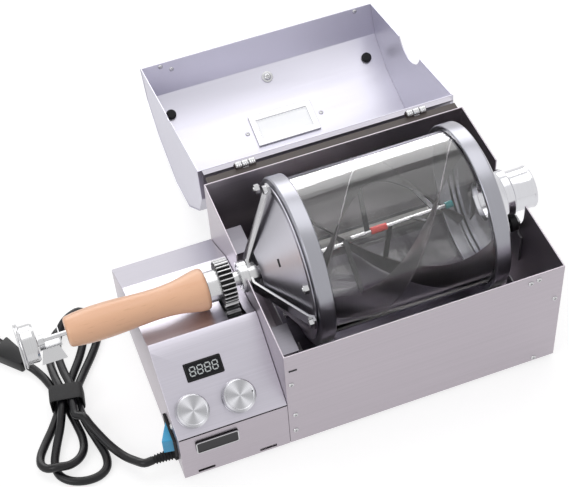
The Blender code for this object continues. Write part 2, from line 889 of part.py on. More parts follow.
def make_rings():
    """The two turned rings. Each has a groove for the glass and a lip outside it."""
    lip_end = left_ring_start + ring_lip
    end = left_ring_start + ring_width
    bevel = ring_lip / 4
    groove = glass_radius + gap
    left = [(ring_radius, end - bevel), (ring_radius, left_ring_start + bevel),
            (ring_radius - bevel, left_ring_start), (ring_lip_radius, left_ring_start),
            (ring_lip_radius, lip_end), (groove, lip_end), (groove, end), (ring_radius - bevel, end)]
    turned("drum_ring_left", left, (0, 0, axis_height), "x", "aluminium", ring_steps)
    lip_start = right_ring_end - ring_lip
    right = [(ring_radius - bevel, right_ring_end), (ring_radius, right_ring_end - bevel),
             (ring_radius, right_ring_start + bevel), (ring_radius - bevel, right_ring_start),
             (groove, right_ring_start), (groove, lip_start), (ring_lip_radius, lip_start),
             (ring_lip_radius, right_ring_end)]
    turned("drum_ring_right", right, (0, 0, axis_height), "x", "aluminium", ring_steps)
    sleeve("drum_glass", glass_radius, glass_inner_radius, lip_end + gap, lip_start - gap,
           (0, 0, axis_height), "x", "glass", ring_steps)


def make_cone():
    """The spun cone that closes the drum's handle end."""
    base = left_ring_start - gap
    tip = base - cone_length
    wall = cone_sheet
    slant = wall * 1.7
    rim = cap_flange_radius
    waist = rim - cone_sheet * 3
    inner = neck_radius + gap
    profile = [(rim, base), (rim, base - wall), (waist, base - wall), (cone_small_radius, tip), (inner, tip),
               (inner, tip + wall), (cone_small_radius - wall, tip + wall), (waist - slant, base)]
    turned("drum_cone", profile, (0, 0, axis_height), "x", "stainless", ring_steps)


def make_outlet():
    """The cap on the drum's other end: a shallow flare, a collar and the outlet tube."""
    base = right_ring_end + gap
    end = seam + outlet_from_seam
    wall = outlet_wall
    shoulder = base + outlet_flare_length * 0.45
    collar_start = base + outlet_flare_length
    collar_end = collar_start + outlet_collar_length
    inner = outlet_radius - wall
    profile = [(inner + wall * 0.4, end), (outlet_radius, end - wall), (outlet_radius, collar_end),
               (outlet_collar_radius, collar_end), (outlet_collar_radius, collar_start),
               (outlet_collar_radius + wall, collar_start - 2 * wall),
               (outlet_collar_radius + 4 * wall, shoulder), (cap_flange_radius, base + wall),
               (cap_flange_radius, base), (outlet_collar_radius + 4 * wall, shoulder - wall),
               (inner, collar_start - wall), (inner, end - wall)]
    turned("drum_outlet", profile, (0, 0, axis_height), "x", "aluminium", ring_steps)


def make_neck():
    """The neck tube, its bearing in the left wall's notch, and the spider that drives the drum."""
    neck_start = seam - handle_from_seam - handle_socket
    neck_end = left_ring_start - cone_length + 2 * cone_sheet
    sleeve("drum_neck", neck_radius, neck_bore_radius, neck_start, neck_end, (0, 0, axis_height), "x",
           "steel")
    middle = seam + sheet / 2
    sleeve("neck_bearing", bearing_radius, neck_radius + gap, middle - bearing_width / 2,
           middle + bearing_width / 2, (0, 0, axis_height), "x", "steel")
    hub_end = left_ring_start - gap - cone_length - gap
    hub_start = hub_end - hub_length
    spider = sleeve("drum_spider", hub_radius, neck_radius + gap, hub_start, hub_end, (0, 0, axis_height),
                    "x", "steel")
    foot_face = left_ring_start - cone_sheet - 3 * gap
    root_x = hub_start + arm_thickness / 2
    foot_middle = foot_face - arm_thickness / 2
    knee_radius = cap_flange_radius - arm_thickness
    line = [(root_x, hub_radius - arm_thickness), (root_x, hub_radius + 2 * arm_thickness),
            (foot_middle - 1.6 * arm_thickness, knee_radius - arm_thickness), (foot_middle, knee_radius),
            (foot_middle, arm_foot_radius)]
    outline = inset_line(line, arm_thickness / 2) + list(reversed(inset_line(line, -arm_thickness / 2)))
    for place in range(arm_count):
        angle = math.radians(first_arm_degrees) + 2 * math.pi * place / arm_count
        arm = flat_plate("spider_arm", [outline], arm_width)
        to_xz = Matrix(((1, 0, 0, 0), (0, 0, -1, 0), (0, 1, 0, 0), (0, 0, 0, 1)))
        turn = Matrix.Rotation(angle - math.pi / 2, 4, "X")
        arm.matrix_world = Matrix.Translation((0, 0, axis_height)) @ turn @ to_xz
        join(spider, arm)
        nut_place = Vector((0, arm_foot_radius - 0.9 * nut_radius, 0))
        nut_place.rotate(Matrix.Rotation(angle, 3, "X"))
        nut_start = foot_face - arm_thickness - nut_height
        nut = rod("arm_nut", nut_radius, nut_start, foot_face - arm_thickness / 2,
                  (0, nut_place.y, axis_height + nut_place.z), steps=6)
        join(spider, nut)


def make_vanes():
    """Twisted stirring vanes on the glass's inner side, from lip to lip of the rings."""
    end_clear = vane_sheet / 2 + running_gap
    start = left_ring_start + ring_lip + end_clear
    length = right_ring_end - ring_lip - end_clear - start
    twist = math.radians(vane_twist_degrees)
    for place in range(arm_count):
        bm = bmesh.new()
        inner = bm.verts.new((vane_inner_radius, 0, 0))
        outer = bm.verts.new((vane_outer_radius, 0, 0))
        bm.edges.new((inner, outer))
        name = f"stir_vane_{place + 1}"
        vane = add_object(name, mesh_from(bm, name))
        sweep = vane.modifiers.new("twist", "SCREW")
        sweep.axis = "Z"
        sweep.angle = twist
        sweep.screw_offset = length
        sweep.steps = vane_steps
        sweep.render_steps = vane_steps
        wall = vane.modifiers.new("wall", "SOLIDIFY")
        wall.thickness = vane_sheet
        wall.offset = 0.0
        angle = math.radians(vane_start_degrees) + math.pi / 2 + 2 * math.pi * place / arm_count
        spin = Matrix.Rotation(angle, 4, "X")
        vane.matrix_world = Matrix.Translation((start, 0, axis_height)) @ spin @ AXIS_TURNS["x"]
        dress(vane, "stainless")


# Handle and thermometer

def make_handle():
    """The turned beech handle on the neck. Radii follow the photograph's outline."""
    right = seam - handle_from_seam
    left = right - handle_length
    radius_share = [0.93, 1.00, 0.94, 0.78, 0.72, 0.76, 0.82, 0.82, 0.77, 0.71, 0.62]
    place_share = [0.0, 0.025, 0.10, 0.22, 0.36, 0.52, 0.68, 0.80, 0.92, 0.985, 1.0]
    radii = share(radius_share, handle_widest)
    outer = [(r, right - x) for r, x in zip(radii, share(place_share, handle_length))]
    socket = neck_radius + gap
    socket_end = right - handle_socket - gap
    bore = [(handle_bore_radius, left), (handle_bore_radius, socket_end), (socket, socket_end),
            (socket, right)]
    turned("wood_handle", outer + bore, (0, 0, axis_height), "x", "beech")


def make_thermometer():
    """The dial thermometer: case, glass, stem and the spring clip between dial and handle."""
    front_x = seam - dial_from_seam
    back_x = front_x + dial_depth
    neck_end = back_x + stem_neck_length
    rim = dial_wall
    place = (0, 0, axis_height)
    recess = front_x + dial_depth * 0.35
    profile = [(0, neck_end), (stem_neck_radius, neck_end), (stem_neck_radius, back_x),
               (dial_radius * 0.80, back_x), (dial_radius * 0.86, back_x - dial_depth * 0.3),
               (dial_radius * 0.86, front_x + dial_depth * 0.42), (dial_radius, front_x + dial_depth * 0.36),
               (dial_radius, front_x + rim / 2), (dial_radius - rim, front_x),
               (dial_radius - 2 * rim, front_x), (dial_radius - 2 * rim, recess), (0, recess)]
    turned("thermometer_case", profile, place, "x", "stainless", closed=False)
    rod("thermometer_glass", dial_radius - 2 * rim - gap, front_x + rim / 2, front_x + rim * 1.2, place, "x",
        "glass")
    stem_end = left_ring_start + stem_into_drum
    rod("thermometer_stem", stem_radius, neck_end + gap, stem_end, place, "x", "steel", 16)
    make_clip(neck_end)


def make_clip(neck_end):
    """The bent clip on the stem: two upright ears with holes, a web, and a flared thumb plate."""
    width = clip_width
    first_x = neck_end + running_gap
    second_x = first_x + clip_length
    top, low = axis_height + clip_ear, axis_height - clip_web_drop
    line = [(first_x, top), (first_x, low), (second_x, low), (second_x, top)]
    bm = bmesh.new()
    near = [bm.verts.new((x, -width / 2, z)) for x, z in line]
    far = [bm.verts.new((x, width / 2, z)) for x, z in line]
    for step in range(len(line) - 1):
        bm.faces.new((near[step], near[step + 1], far[step + 1], far[step]))
    thumb_x = (first_x + second_x) / 2
    clip = add_object("thermometer_clip", mesh_from(bm, "thermometer_clip"))
    wall = clip.modifiers.new("wall", "SOLIDIFY")
    wall.thickness = clip_sheet
    wall.offset = 1.0
    wall.use_even_offset = True
    dress(clip, "stainless")
    hole = rod("stem_hole", stem_radius + gap, first_x - cut_over, second_x + cut_over, (0, 0, axis_height),
               steps=16)
    cut(clip, hole)
    narrow_share = 0.62
    half_wide, half_narrow = thumb_half_wide, narrow_share * thumb_half_wide
    outline = [(-half_narrow, 0), (half_narrow, 0), (half_wide, -thumb_length), (-half_wide, -thumb_length)]
    thumb = flat_plate("clip_thumb", [outline], clip_sheet)
    thumb.rotation_euler = (math.radians(58.0), 0, 0)
    thumb.location = (thumb_x, -width / 2 + 1.5 * clip_sheet, low + clip_sheet / 2)
    join(clip, thumb)


# Heating

def make_heaters():
    """Two heating tubes under the drum, their end plates, and the tray that throws the heat up."""
    left_plate = left_ring_start - 3.2 * ring_lip
    right_plate = right_ring_end + 4.2 * ring_lip
    lead = heater_cap_length * 0.3
    for name, y in (("front", -heater_offset), ("rear", heater_offset)):
        start, end = left_plate - gap, right_plate + sheet + gap
        profile = [(0, end + heater_cap_length), (heater_cap_radius, end + heater_cap_length),
                   (heater_cap_radius, end), (heater_radius, end), (heater_radius, start),
                   (heater_cap_radius, start), (heater_cap_radius, start - heater_cap_length),
                   (0, start - heater_cap_length - lead)]
        turned(f"heater_tube_{name}", profile, (0, y, heater_height), "x", "ceramic", 20, closed=False)
    for name, x in (("left", left_plate), ("right", right_plate)):
        shoulder = holder_dip_half + sheet
        outline = [(-holder_half_width, sheet + gap), (holder_half_width, sheet + gap),
                   (holder_half_width, holder_height), (shoulder, holder_height),
                   (holder_dip_half, holder_dip_height), (-holder_dip_half, holder_dip_height),
                   (-shoulder, holder_height), (-holder_half_width, holder_height)]
        holes = [circle_points(heater_radius + gap, 20, (side * heater_offset, heater_height))
                 for side in (-1, 1)]
        plate = flat_plate(f"heater_holder_{name}", [outline] + holes, sheet, "stainless")
        to_yz = Matrix(((0, 0, 1, 0), (1, 0, 0, 0), (0, 1, 0, 0), (0, 0, 0, 1)))
        plate.matrix_world = Matrix.Translation((x + sheet / 2, 0, 0)) @ to_yz
    rim_y = tray_half_floor + tray_flare
    profile = [(-rim_y, tray_height + tray_rise), (-tray_half_floor, tray_height),
               (tray_half_floor, tray_height),
               (rim_y, tray_height + tray_rise)]
    bent_sheet("reflector_tray", profile, left_plate + sheet + gap, right_plate - gap, lid_sheet,
               "stainless")


# Outlet rollers

def make_rollers():
    """Two small bearings that carry the outlet collar, on studs of one bracket inside the right wall."""
    angle = math.radians(roller_degrees)
    reach = outlet_radius + roller_radius + gap
    bracket_x = body_right - sheet - gap
    bracket_sheet, half, low = roller_bracket_sheet, roller_bracket_half, roller_bracket_low
    high = axis_height - roller_bracket_under_axis
    bracket = block("roller_bracket", (bracket_x - bracket_sheet, -half, low), (bracket_x, half, high),
                    "steel")
    end = bracket_x - bracket_sheet
    start = end - roller_length - 2 * running_gap
    for name, side in (("front", -1), ("rear", 1)):
        y = side * reach * math.cos(angle)
        z = axis_height - reach * math.sin(angle)
        join(bracket, block("roller_ear", (end, y - 2 * stud_radius, high - 2 * stud_radius),
                            (bracket_x, y + 2 * stud_radius, z + 2 * stud_radius)))
        join(bracket, rod("roller_stud", stud_radius, start - running_gap, bracket_x - bracket_sheet / 2,
                          (0, y, z), steps=16))
        sleeve(f"outlet_roller_{name}", roller_radius, stud_radius + running_gap / 2, start + running_gap,
               end - running_gap, (0, y, z), "x", "rubber", 24)


# Lid, modelled closed in the hinge's frame: -Y runs to the front, +Z is up

def lid_profile():
    """The lid's outer outline from the front rim over the top to the back rim, as (y, z)."""
    rise = [(0, lid_rim_lift), (lid_skirt_lean, lid_skirt_height),
            (lid_skirt_lean + lid_slope_run, lid_slope_height),
            (lid_skirt_lean + lid_slope_run + lid_top_run, lid_top_height)]
    fore = [(-lid_rim_front + y, z) for y, z in rise]
    aft = [(-lid_rim_back - y, z) for y, z in reversed(rise)]
    return fore + aft


def lid_end_plate(name, x, notch_radius):
    """A lid end plate inside the shell, with the notch that clears the drum's neck or outlet."""
    outline = inset_line(lid_profile(), lid_sheet + gap)
    axis_y = -hinge_y
    axis_z = axis_height - hinge_z
    reach = math.asin((lid_rim_lift + gap - axis_z) / notch_radius)
    arc = circle_points(notch_radius, 14, (axis_y, axis_z), reach, math.pi - 2 * reach)
    plate = flat_plate(name, [outline + arc], lid_sheet, "stainless")
    to_yz = Matrix(((0, 0, 1, 0), (1, 0, 0, 0), (0, 1, 0, 0), (0, 0, 0, 1)))
    plate.matrix_world = Matrix.Translation((x, 0, 0)) @ to_yz
    return under(plate, lid_frame)


def make_lid():
    """The folded lid shell, its end plates, the window with its frame, and the knob."""
    shell = bent_sheet("lid_shell", lid_profile(), seam, body_right, lid_sheet, "stainless")
    under(shell, lid_frame)
    left_notch = bearing_radius + 3 * running_gap
    lid_end_plate("lid_end_left", seam + lid_sheet, left_notch)
    lid_end_plate("lid_end_right", body_right - lid_sheet, right_notch_radius)
    low = (-lid_rim_front + lid_skirt_lean + lid_slope_run, lid_slope_height)
    tilt = math.atan2(lid_top_height - lid_slope_height, lid_top_run)
    window = empty("window_frame_place", (chamber_middle, *low), tilt)
    under(window, lid_frame)
    length, width, wall = window_length, window_width, window_frame_wall
    hole = block("window_hole",
                 (-length / 2 + wall / 2, window_slope_place - width / 2 + wall / 2, -cut_over),
                 (length / 2 - wall / 2, window_slope_place + width / 2 - wall / 2, cut_over))
    under(hole, window)
    cut(shell, hole)
    frame_sheet = window_frame_sheet
    middle = (0, window_slope_place)
    outlines = [rectangle_points(length, width, middle),
                rectangle_points(length - 2 * wall, width - 2 * wall, middle)]
    frame = flat_plate("window_frame", outlines, frame_sheet, "stainless")
    frame.location = (0, 0, -lid_sheet - gap - frame_sheet / 2)
    under(frame, window)
    pane_outline = rectangle_points(length - wall - 2 * gap, width - wall - 2 * gap, middle)
    pane = flat_plate("window_glass", [pane_outline], lid_sheet, "glass")
    pane.location = (0, 0, -lid_sheet / 2)
    under(pane, window)
    make_lid_knob()


def make_lid_knob():
    """The knob on the lid's front slope. Only its screw shows inside the open lid."""
    slope = math.atan2(lid_slope_height - lid_skirt_height, lid_slope_run)
    low = (-lid_rim_front + lid_skirt_lean, lid_skirt_height)
    place = empty("knob_place", (chamber_middle, *low), slope)
    under(place, lid_frame)
    radius_share = [0.0, 0.667, 1.0, 1.0, 0.571, 0.524, 0.762, 0.0]
    height_share = [1.0, 0.979, 0.792, 0.625, 0.375, 0.167, 0.0, 0.0]
    profile = [(r, gap + z) for r, z in zip(share(radius_share, lid_knob_radius),
                                            share(height_share, lid_knob_height - gap))]
    knob = turned("lid_knob", profile, (0, 0, 0), "z", "beech", round_steps, closed=False)
    knob.matrix_world = Matrix.Translation((0, lid_knob_up, 0))
    under(knob, place)


def make_hinges():
    """A bent strip on the back wall and one on the lid. Their knuckles interleave on two pins."""
    strip_margin, leg, wall = hinge_strip_margin, hinge_strip_leg, sheet
    start, end = seam + strip_margin, body_right - strip_margin
    face = back + gap
    top = chamber_height - 3 * gap
    strip = block("hinge_strip", (start, face, top - leg), (end, face + wall, top), "dark_steel")
    tongue = block("strip_tongue", (start, face, top - wall), (end, hinge_y - knuckle_radius * 0.6, top))
    join(strip, tongue)
    lid_top = lid_rim_lift + 4 * gap
    lean = lid_skirt_lean / lid_skirt_height
    near = -lid_rim_back + gap
    reach = knuckle_radius * 0.6
    lid_line = [(-reach, lid_top), (near + wall, lid_top), (near + wall - leg * lean, lid_top + leg)]
    lid_strip = bent_sheet("lid_hinge_strip", lid_line, start, end, wall, "dark_steel")
    lid_strip.modifiers["wall"].offset = 1.0
    under(lid_strip, lid_frame)
    third = hinge_length / 3
    for side in (-1, 1):
        middle = chamber_middle + side * hinge_half_spacing
        clear_start, clear_end = middle - third / 2 - running_gap, middle + third / 2 + running_gap
        for x in (middle - third, middle + third):
            knuckle = rod("knuckle", knuckle_radius, x - third / 2, x + third / 2, (0, hinge_y, hinge_z),
                          steps=20)
            join(strip, knuckle)
        pin = rod("hinge_pin", hinge_pin_radius, middle - third, middle + third, (0, hinge_y, hinge_z),
                  steps=16)
        join(strip, pin)
        lid_knuckle = rod("lid_knuckle", knuckle_radius, middle - third / 2 + running_gap / 2,
                          middle + third / 2 - running_gap / 2, (0, 0, 0), steps=20)
        under(lid_knuckle, lid_frame)
        join(lid_strip, lid_knuckle)
        bore = rod("lid_knuckle_bore", hinge_pin_radius + gap, clear_start, clear_end, (0, 0, 0), steps=16)
        under(bore, lid_frame)
        cut(lid_strip, bore)
        fixed_notch = block("strip_notch",
                            (clear_start, hinge_y - knuckle_radius - running_gap, top - 2 * wall),
                            (clear_end, hinge_y, top + wall))
        cut(strip, fixed_notch)
        for x in (middle - third, middle + third):
            notch = block("lid_strip_notch",
                          (x - third / 2 - running_gap, -knuckle_radius - running_gap, -wall),
                          (x + third / 2 + running_gap, 0, lid_top + 3 * wall))
            under(notch, lid_frame)
            cut(lid_strip, notch)


# Cord

def make_relief():
    """The tapered strain relief on the left wall, with its shank through the wall."""
    start = body_left - gap
    tip = start - relief_length
    inside = body_left + 4 * sheet
    profile = [(0, inside), (relief_shank_radius, inside), (relief_shank_radius, start),
               (relief_radius, start),
               (relief_radius, start - 2 * sheet), (relief_tip_radius, tip), (0, tip)]
    turned("strain_relief", profile, (0, relief_y, relief_z), "x", "rubber", 20, closed=False)


def lobe(side, first_slot, last_slot, loop):
    """One loop, in the hank's frame: out of the tie along a slot, round, and back along another."""
    t = np.linspace(0, 1, lobe_points)
    swell = np.sin(2 * np.pi * t) * np.sin(np.pi * t) ** loop["round_share"]
    swell /= swell.max()
    run = loop["length"] * np.sin(np.pi * t)
    slot = first_slot + (last_slot - first_slot) * t * t * (3 - 2 * t)
    lean = math.tan(math.radians(loop["lean"])) * run ** 2 / loop["length"]
    turn = 1 if last_slot > first_slot else -1
    across = slot - turn * loop["half"] * swell + lean
    return np.stack([across, side * (tie_length / 2 + run)], axis=1)


def to_world(points):
    """Points of the hank's frame as world (x, y)."""
    turn = math.radians(hank_turn_degrees)
    rotate = np.array([[math.cos(turn), -math.sin(turn)], [math.sin(turn), math.cos(turn)]])
    return np.asarray(points) @ rotate.T + hank_middle


def along_hank(points):
    """How far points lie along the hank from its tie."""
    turn = math.radians(hank_turn_degrees)
    return (np.asarray(points)[:, :2] - hank_middle) @ np.array([-math.sin(turn), math.cos(turn)])


def smooth_route(points, step):
    """Points along a smooth curve through a route's own points."""
    points = np.asarray(points, float)
    padded = np.vstack([2 * points[0] - points[1], points, 2 * points[-1] - points[-2]])
    made = []
    for a, b, c, d in zip(padded, padded[1:], padded[2:], padded[3:]):
        count = max(1, int(round(np.linalg.norm(c - b) / step)))
        for t in np.arange(count) / count:
            made.append(0.5 * ((2 * b) + (c - a) * t + (2 * a - 5 * b + 4 * c - d) * t ** 2
                               + (3 * b - a - 3 * c + d) * t ** 3))
    made.append(padded[-2])
    return np.array(made)


def fine_points(line, cuts=8):
    """A line's points with more between them."""
    between = [a + (b - a) * step / cuts for a, b in zip(line, line[1:]) for step in range(cuts)]
    return np.array(between + [line[-1]])


def run_lengths(line):
    """The length of a line up to each of its points."""
    return np.concatenate([[0], np.cumsum(np.linalg.norm(np.diff(line, axis=0), axis=1))])


def lay_down(plan, laid, base):
    """Heights of one stretch: on its base, and over every strand that is already laid."""
    cuts = 8
    dense = fine_points(plan, cuts)
    need = fine_points(np.asarray(base)[:, None], cuts)[:, 0]
    reach = cord_diameter + strand_gap
    along = run_lengths(dense)
    if len(laid):
        distance = np.linalg.norm(dense[:, None] - laid[None, :, :2], axis=2)
        over = laid[None, :, 2] + np.sqrt(np.maximum(reach ** 2 - distance ** 2, 0))
        need = np.maximum(need, np.where(distance < reach, over, floor_line).max(axis=1))
    apart = np.abs(along[:, None] - along[None, :])
    height = (need[None, :] - climb_slope * apart).max(axis=1)
    weight = np.exp(-(apart / climb_ease) ** 2)
    weight /= weight.sum(axis=1, keepdims=True)
    for _ in range(6):
        height = np.maximum(weight @ height, need)
    return height[::cuts]


def base_heights(points):
    """The lowest line that a strand can take: on the floor, and on the tie's strap near the waist."""
    distance = np.linalg.norm(points - hank_middle, axis=1)
    near = np.clip((tie_reach - distance) / (tie_reach - tie_length), 0, 1)
    return floor_line + (tie_sheet + 2 * gap) * near * near * (3 - 2 * near)


def hank_plan():
    """The hank from the plug to the lead's start, as five stretches in world (x, y)."""
    slot, tie, half = slot_step, tie_length / 2, lobe_points // 2
    short = to_world(lobe(-1, -slot, 0, short_loop))
    upper = to_world(lobe(1, 0, -slot / 2, upper_loop))
    long = to_world(lobe(-1, -slot / 2, slot, long_loop))
    outer = to_world(lobe(1, slot, slot / 2, outer_loop))
    plug = np.array([plug_x, plug_y])
    first = plug + (np.array(tail_route[0]) - plug) * cord_diameter / np.linalg.norm(tail_route[0] - plug)
    tail = smooth_route(np.vstack([plug, first, tail_route, to_world([(-slot, tie)])]), 2 * cord_diameter)
    last = to_world([(slot / 2, -tie), (slot / 2 + cord_diameter / 8, -tie - cord_diameter)])
    return [np.vstack([tail, short[:half + 1]]), np.vstack([short[half:], upper[:half + 1]]),
            np.vstack([upper[half:], long[:half + 1]]), np.vstack([long[half:], outer[:half + 1]]),
            np.vstack([outer[half:], last])]


def thinned(points, least):
    """Points of a line without those that lie too near the one before."""
    kept = [points[0]]
    for point in points[1:]:
        if np.linalg.norm(point - kept[-1]) > least:
            kept.append(point)
    return np.array(kept)


def lay_hank():
    """The hank's centre line. The long loop passes under the tip of the short one."""
    laid = np.zeros((0, 3))
    strands = []
    plans = [thinned(plan, cord_diameter / 5) for plan in hank_plan()]
    tip = -under_tip_share * short_loop["length"]
    for place, plan in enumerate(plans):
        below = laid[along_hank(laid) > tip] if place in (2, 3) else laid
        base = base_heights(plan)
        base[0] = strands[-1][-1, 2] if strands else plug_middle
        height = lay_down(plan, below, base)
        if strands:
            strands[-1][-1, 2] = height[0]
        strands.append(np.column_stack([plan, height]))
        laid = np.vstack([fine_points(strand) for strand in strands])
    long_laid = np.vstack([fine_points(strands[2]), fine_points(strands[3])])
    long_laid = long_laid[along_hank(long_laid) < tip]
    for strand in strands[:2]:
        lifted = lay_down(strand[:, :2], long_laid, strand[:, 2])
        strand[:, 2] = np.maximum(strand[:, 2], lifted)
    strands[1][0, 2] = strands[0][-1, 2] = max(strands[1][0, 2], strands[0][-1, 2])
    line = np.vstack([strands[0]] + [strand[1:] for strand in strands[1:]])
    line[1, 2] = line[0, 2]
    return line


def lay_lead(hank):
    """The free stretch from the hank to the strain relief, over the hank's own strands."""
    start = np.array([body_left - gap - relief_length - gap, relief_y, relief_z])
    out = hank[-1] - hank[-2]
    out /= np.linalg.norm(out)
    first = hank[-1] + out * gap
    route = [first, first + out * cord_diameter] + lead_route + [start - [cord_diameter, 0, 0], start]
    line = smooth_route(route, 2 * cord_diameter)
    middle = slice(2, -2)
    run = run_lengths(hank)
    over = lay_down(line[:, :2], fine_points(hank[run < run[-1] - 4 * cord_diameter]), line[:, 2])
    line[middle, 2] = np.maximum(line[middle, 2], over[middle])
    return line


def least_gap(first, second, same):
    """The least gap between two tubes' surfaces, or a tube's and its own, away from their joint."""
    cuts, skip = 10, 3 * cord_diameter
    a, b = fine_points(first, cuts), fine_points(second, cuts)
    distance = np.linalg.norm(a[:, None] - b[None], axis=2) - cord_diameter
    run_a, run_b = run_lengths(a)[:, None], run_lengths(b)[None]
    apart = np.abs(run_a - run_b) if same else run_a + run_b.max() - run_b
    return distance[apart > skip].min()


def tube(name, line, finish, rounding):
    """A cord's stretch: a bevelled curve through its points, with filled caps."""
    curve = bpy.data.curves.new(name, "CURVE")
    curve.dimensions = "3D"
    curve.bevel_depth = cord_diameter / 2
    curve.bevel_resolution = rounding
    curve.use_fill_caps = True
    spline = curve.splines.new("POLY")
    spline.points.add(len(line) - 1)
    for point, place in zip(spline.points, line):
        point.co = (*place, 1)
    made = bpy.data.objects.new(name, curve)
    parts.objects.link(made)
    curve.materials.append(finish_of(finish))
    return made


def make_tie(hank):
    """The strap round the hank's waist, as one closed band that rests on the floor."""
    inside = hank[np.abs(along_hank(hank)) <= tie_length]
    low = -foot_height + floor_gap
    half = slot_step + cord_diameter / 2 + strand_gap / 2
    top = inside[:, 2].max() + cord_diameter / 2 + gap
    bottom = low + tie_sheet
    middle = (0, (top + bottom) / 2)
    corner = cord_diameter / 2
    outlines = [rounded_rectangle_points(2 * (half + tie_sheet), top - bottom + 2 * tie_sheet,
                                         corner + tie_sheet, middle),
                rounded_rectangle_points(2 * half, top - bottom, corner, middle)]
    tie = flat_plate("cord_tie", outlines, tie_length, "rubber")
    upright = Matrix(((1, 0, 0, 0), (0, 0, -1, 0), (0, 1, 0, 0), (0, 0, 0, 1)))
    turn = Matrix.Rotation(math.radians(hank_turn_degrees), 4, "Z")
    tie.matrix_world = Matrix.Translation((*hank_middle, 0)) @ turn @ upright


def make_plug(hank):
    """The moulded plug that lies on the floor, with its two flat pins."""
    back_way = hank[0] - hank[1]
    turn = math.atan2(back_way[1], back_way[0])
    round_corner = plug_height / 8
    face = gap + plug_length
    outline = [(gap, -plug_narrow / 2), (face, -plug_wide / 2), (face, plug_wide / 2), (gap, plug_narrow / 2)]
    plug = flat_plate("mains_plug", [outline], plug_height, "rubber")
    edge = plug.modifiers.new("edge", "BEVEL")
    edge.width = round_corner
    edge.segments = 2
    place = Matrix.Translation(hank[0]) @ Matrix.Rotation(turn, 4, "Z")
    plug.matrix_world = place
    for side in (-1, 1):
        across = side * pin_spacing / 2
        pin = block("plug_pin", (face - round_corner, across - pin_sheet / 2, -pin_width / 2),
                    (face + pin_length, across + pin_sheet / 2, pin_width / 2))
        pin.matrix_world = place @ Matrix.Translation(pin.location)
        join(plug, pin)


def make_cord():
    """The mains cord on the floor: a tied hank, the lead to the housing, the tie and the plug."""
    hank = lay_hank()
    lead = lay_lead(hank)
    tube("cord_hank", hank, "rubber", 1)
    tube("cord_lead", lead, "rubber", 2)
    make_tie(hank)
    make_plug(hank)
    print("least gap in the hank, mm:", round(1000 * least_gap(hank, hank, True), 2))
    print("least gap between lead and hank, mm:", round(1000 * least_gap(lead, hank, False), 2))
    print("cord length, m:", round(run_lengths(hank)[-1] + run_lengths(lead)[-1], 3))


panel_frame = empty("panel_place", (0, front, case_front_height), slope_angle)
lid_frame = empty("lid_hinge_line", (0, hinge_y, hinge_z), -math.radians(lid_open_degrees))

make_chamber()
make_shelf_bracket()
make_case()
make_cover()
make_feet()
make_display()
for control, knob_side in (("speed", -1), ("heat", 1)):
    knob_x = panel_part_x + knob_side * knob_spacing / 2
    make_knob(control + "_knob", knob_x)
    make_potentiometer(control + "_potentiometer", knob_x)
make_badge()
make_rocker()
make_gears()
make_motor()
make_board()
make_rings()
make_cone()
make_outlet()
make_neck()
make_vanes()
make_handle()
make_thermometer()
make_heaters()
make_rollers()
make_lid()
make_hinges()
make_relief()
make_cord()
bpy.context.view_layer.update()
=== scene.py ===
"""Home coffee bean roaster, dressed for its picture: an open steel box with a geared glass drum, a hinged
lid, a sloped control panel, a beech handle with a dial thermometer, and a tied mains cord.

Metres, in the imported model's own frame: +X runs along the drum axis from the handle to the outlet, +Y runs to
the back, +Z is up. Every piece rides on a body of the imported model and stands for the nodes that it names.
"""

import json
import math

import bmesh
import bpy
import numpy as np
from mathutils import Matrix, Vector


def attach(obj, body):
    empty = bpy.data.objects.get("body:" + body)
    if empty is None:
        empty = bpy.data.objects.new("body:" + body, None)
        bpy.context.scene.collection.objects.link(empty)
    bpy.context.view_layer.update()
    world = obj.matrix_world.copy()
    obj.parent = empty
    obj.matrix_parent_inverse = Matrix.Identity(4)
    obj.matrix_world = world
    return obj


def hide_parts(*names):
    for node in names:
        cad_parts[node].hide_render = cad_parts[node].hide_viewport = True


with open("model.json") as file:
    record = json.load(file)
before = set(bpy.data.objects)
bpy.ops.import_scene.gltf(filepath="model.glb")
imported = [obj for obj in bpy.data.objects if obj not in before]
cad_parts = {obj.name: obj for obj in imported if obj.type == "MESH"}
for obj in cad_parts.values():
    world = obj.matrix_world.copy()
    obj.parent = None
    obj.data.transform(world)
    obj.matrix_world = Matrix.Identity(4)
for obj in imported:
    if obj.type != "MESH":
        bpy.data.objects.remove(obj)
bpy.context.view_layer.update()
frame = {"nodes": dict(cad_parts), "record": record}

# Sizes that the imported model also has
sheet = 0.0012
gap = 0.0003
body_left = -0.166
front = -0.0985
case_front_height = 0.055
foot_height = 0.005
axis_height = 0.1056
hinge_y = 0.108
hinge_z = 0.1176
slope_angle = math.atan2(0.041, 0.060)

# Camera
camera_place = (-0.2622, -0.7553, 1.0531)
camera_turn_degrees = (40.4093, 2.9902, -20.1646)
camera_lens = 95.18
camera_sensor = 36.0


def placed_object(name, data):
    """An object in the scene that holds a mesh, a lamp or a camera."""
    made = bpy.data.objects.new(name, data)
    bpy.context.scene.collection.objects.link(made)
    return made


def make_camera():
    """The photograph's camera, without shift or depth of field."""
    lens = bpy.data.cameras.new("photo_camera")
    lens.lens = camera_lens
    lens.sensor_width = camera_sensor
    lens.clip_start = 0.01
    camera = placed_object("photo_camera", lens)
    camera.location = camera_place
    camera.rotation_euler = [math.radians(angle) for angle in camera_turn_degrees]
    bpy.context.scene.camera = camera


# Surfaces from arrays

def grid_faces(rows, columns):
    """Quads between the neighbouring points of a grid that is stored row by row."""
    across, along = np.meshgrid(np.arange(rows - 1), np.arange(columns - 1), indexing="ij")
    first = (across * columns + along).reshape(-1)
    return np.stack([first, first + 1, first + columns + 1, first + columns], axis=1)


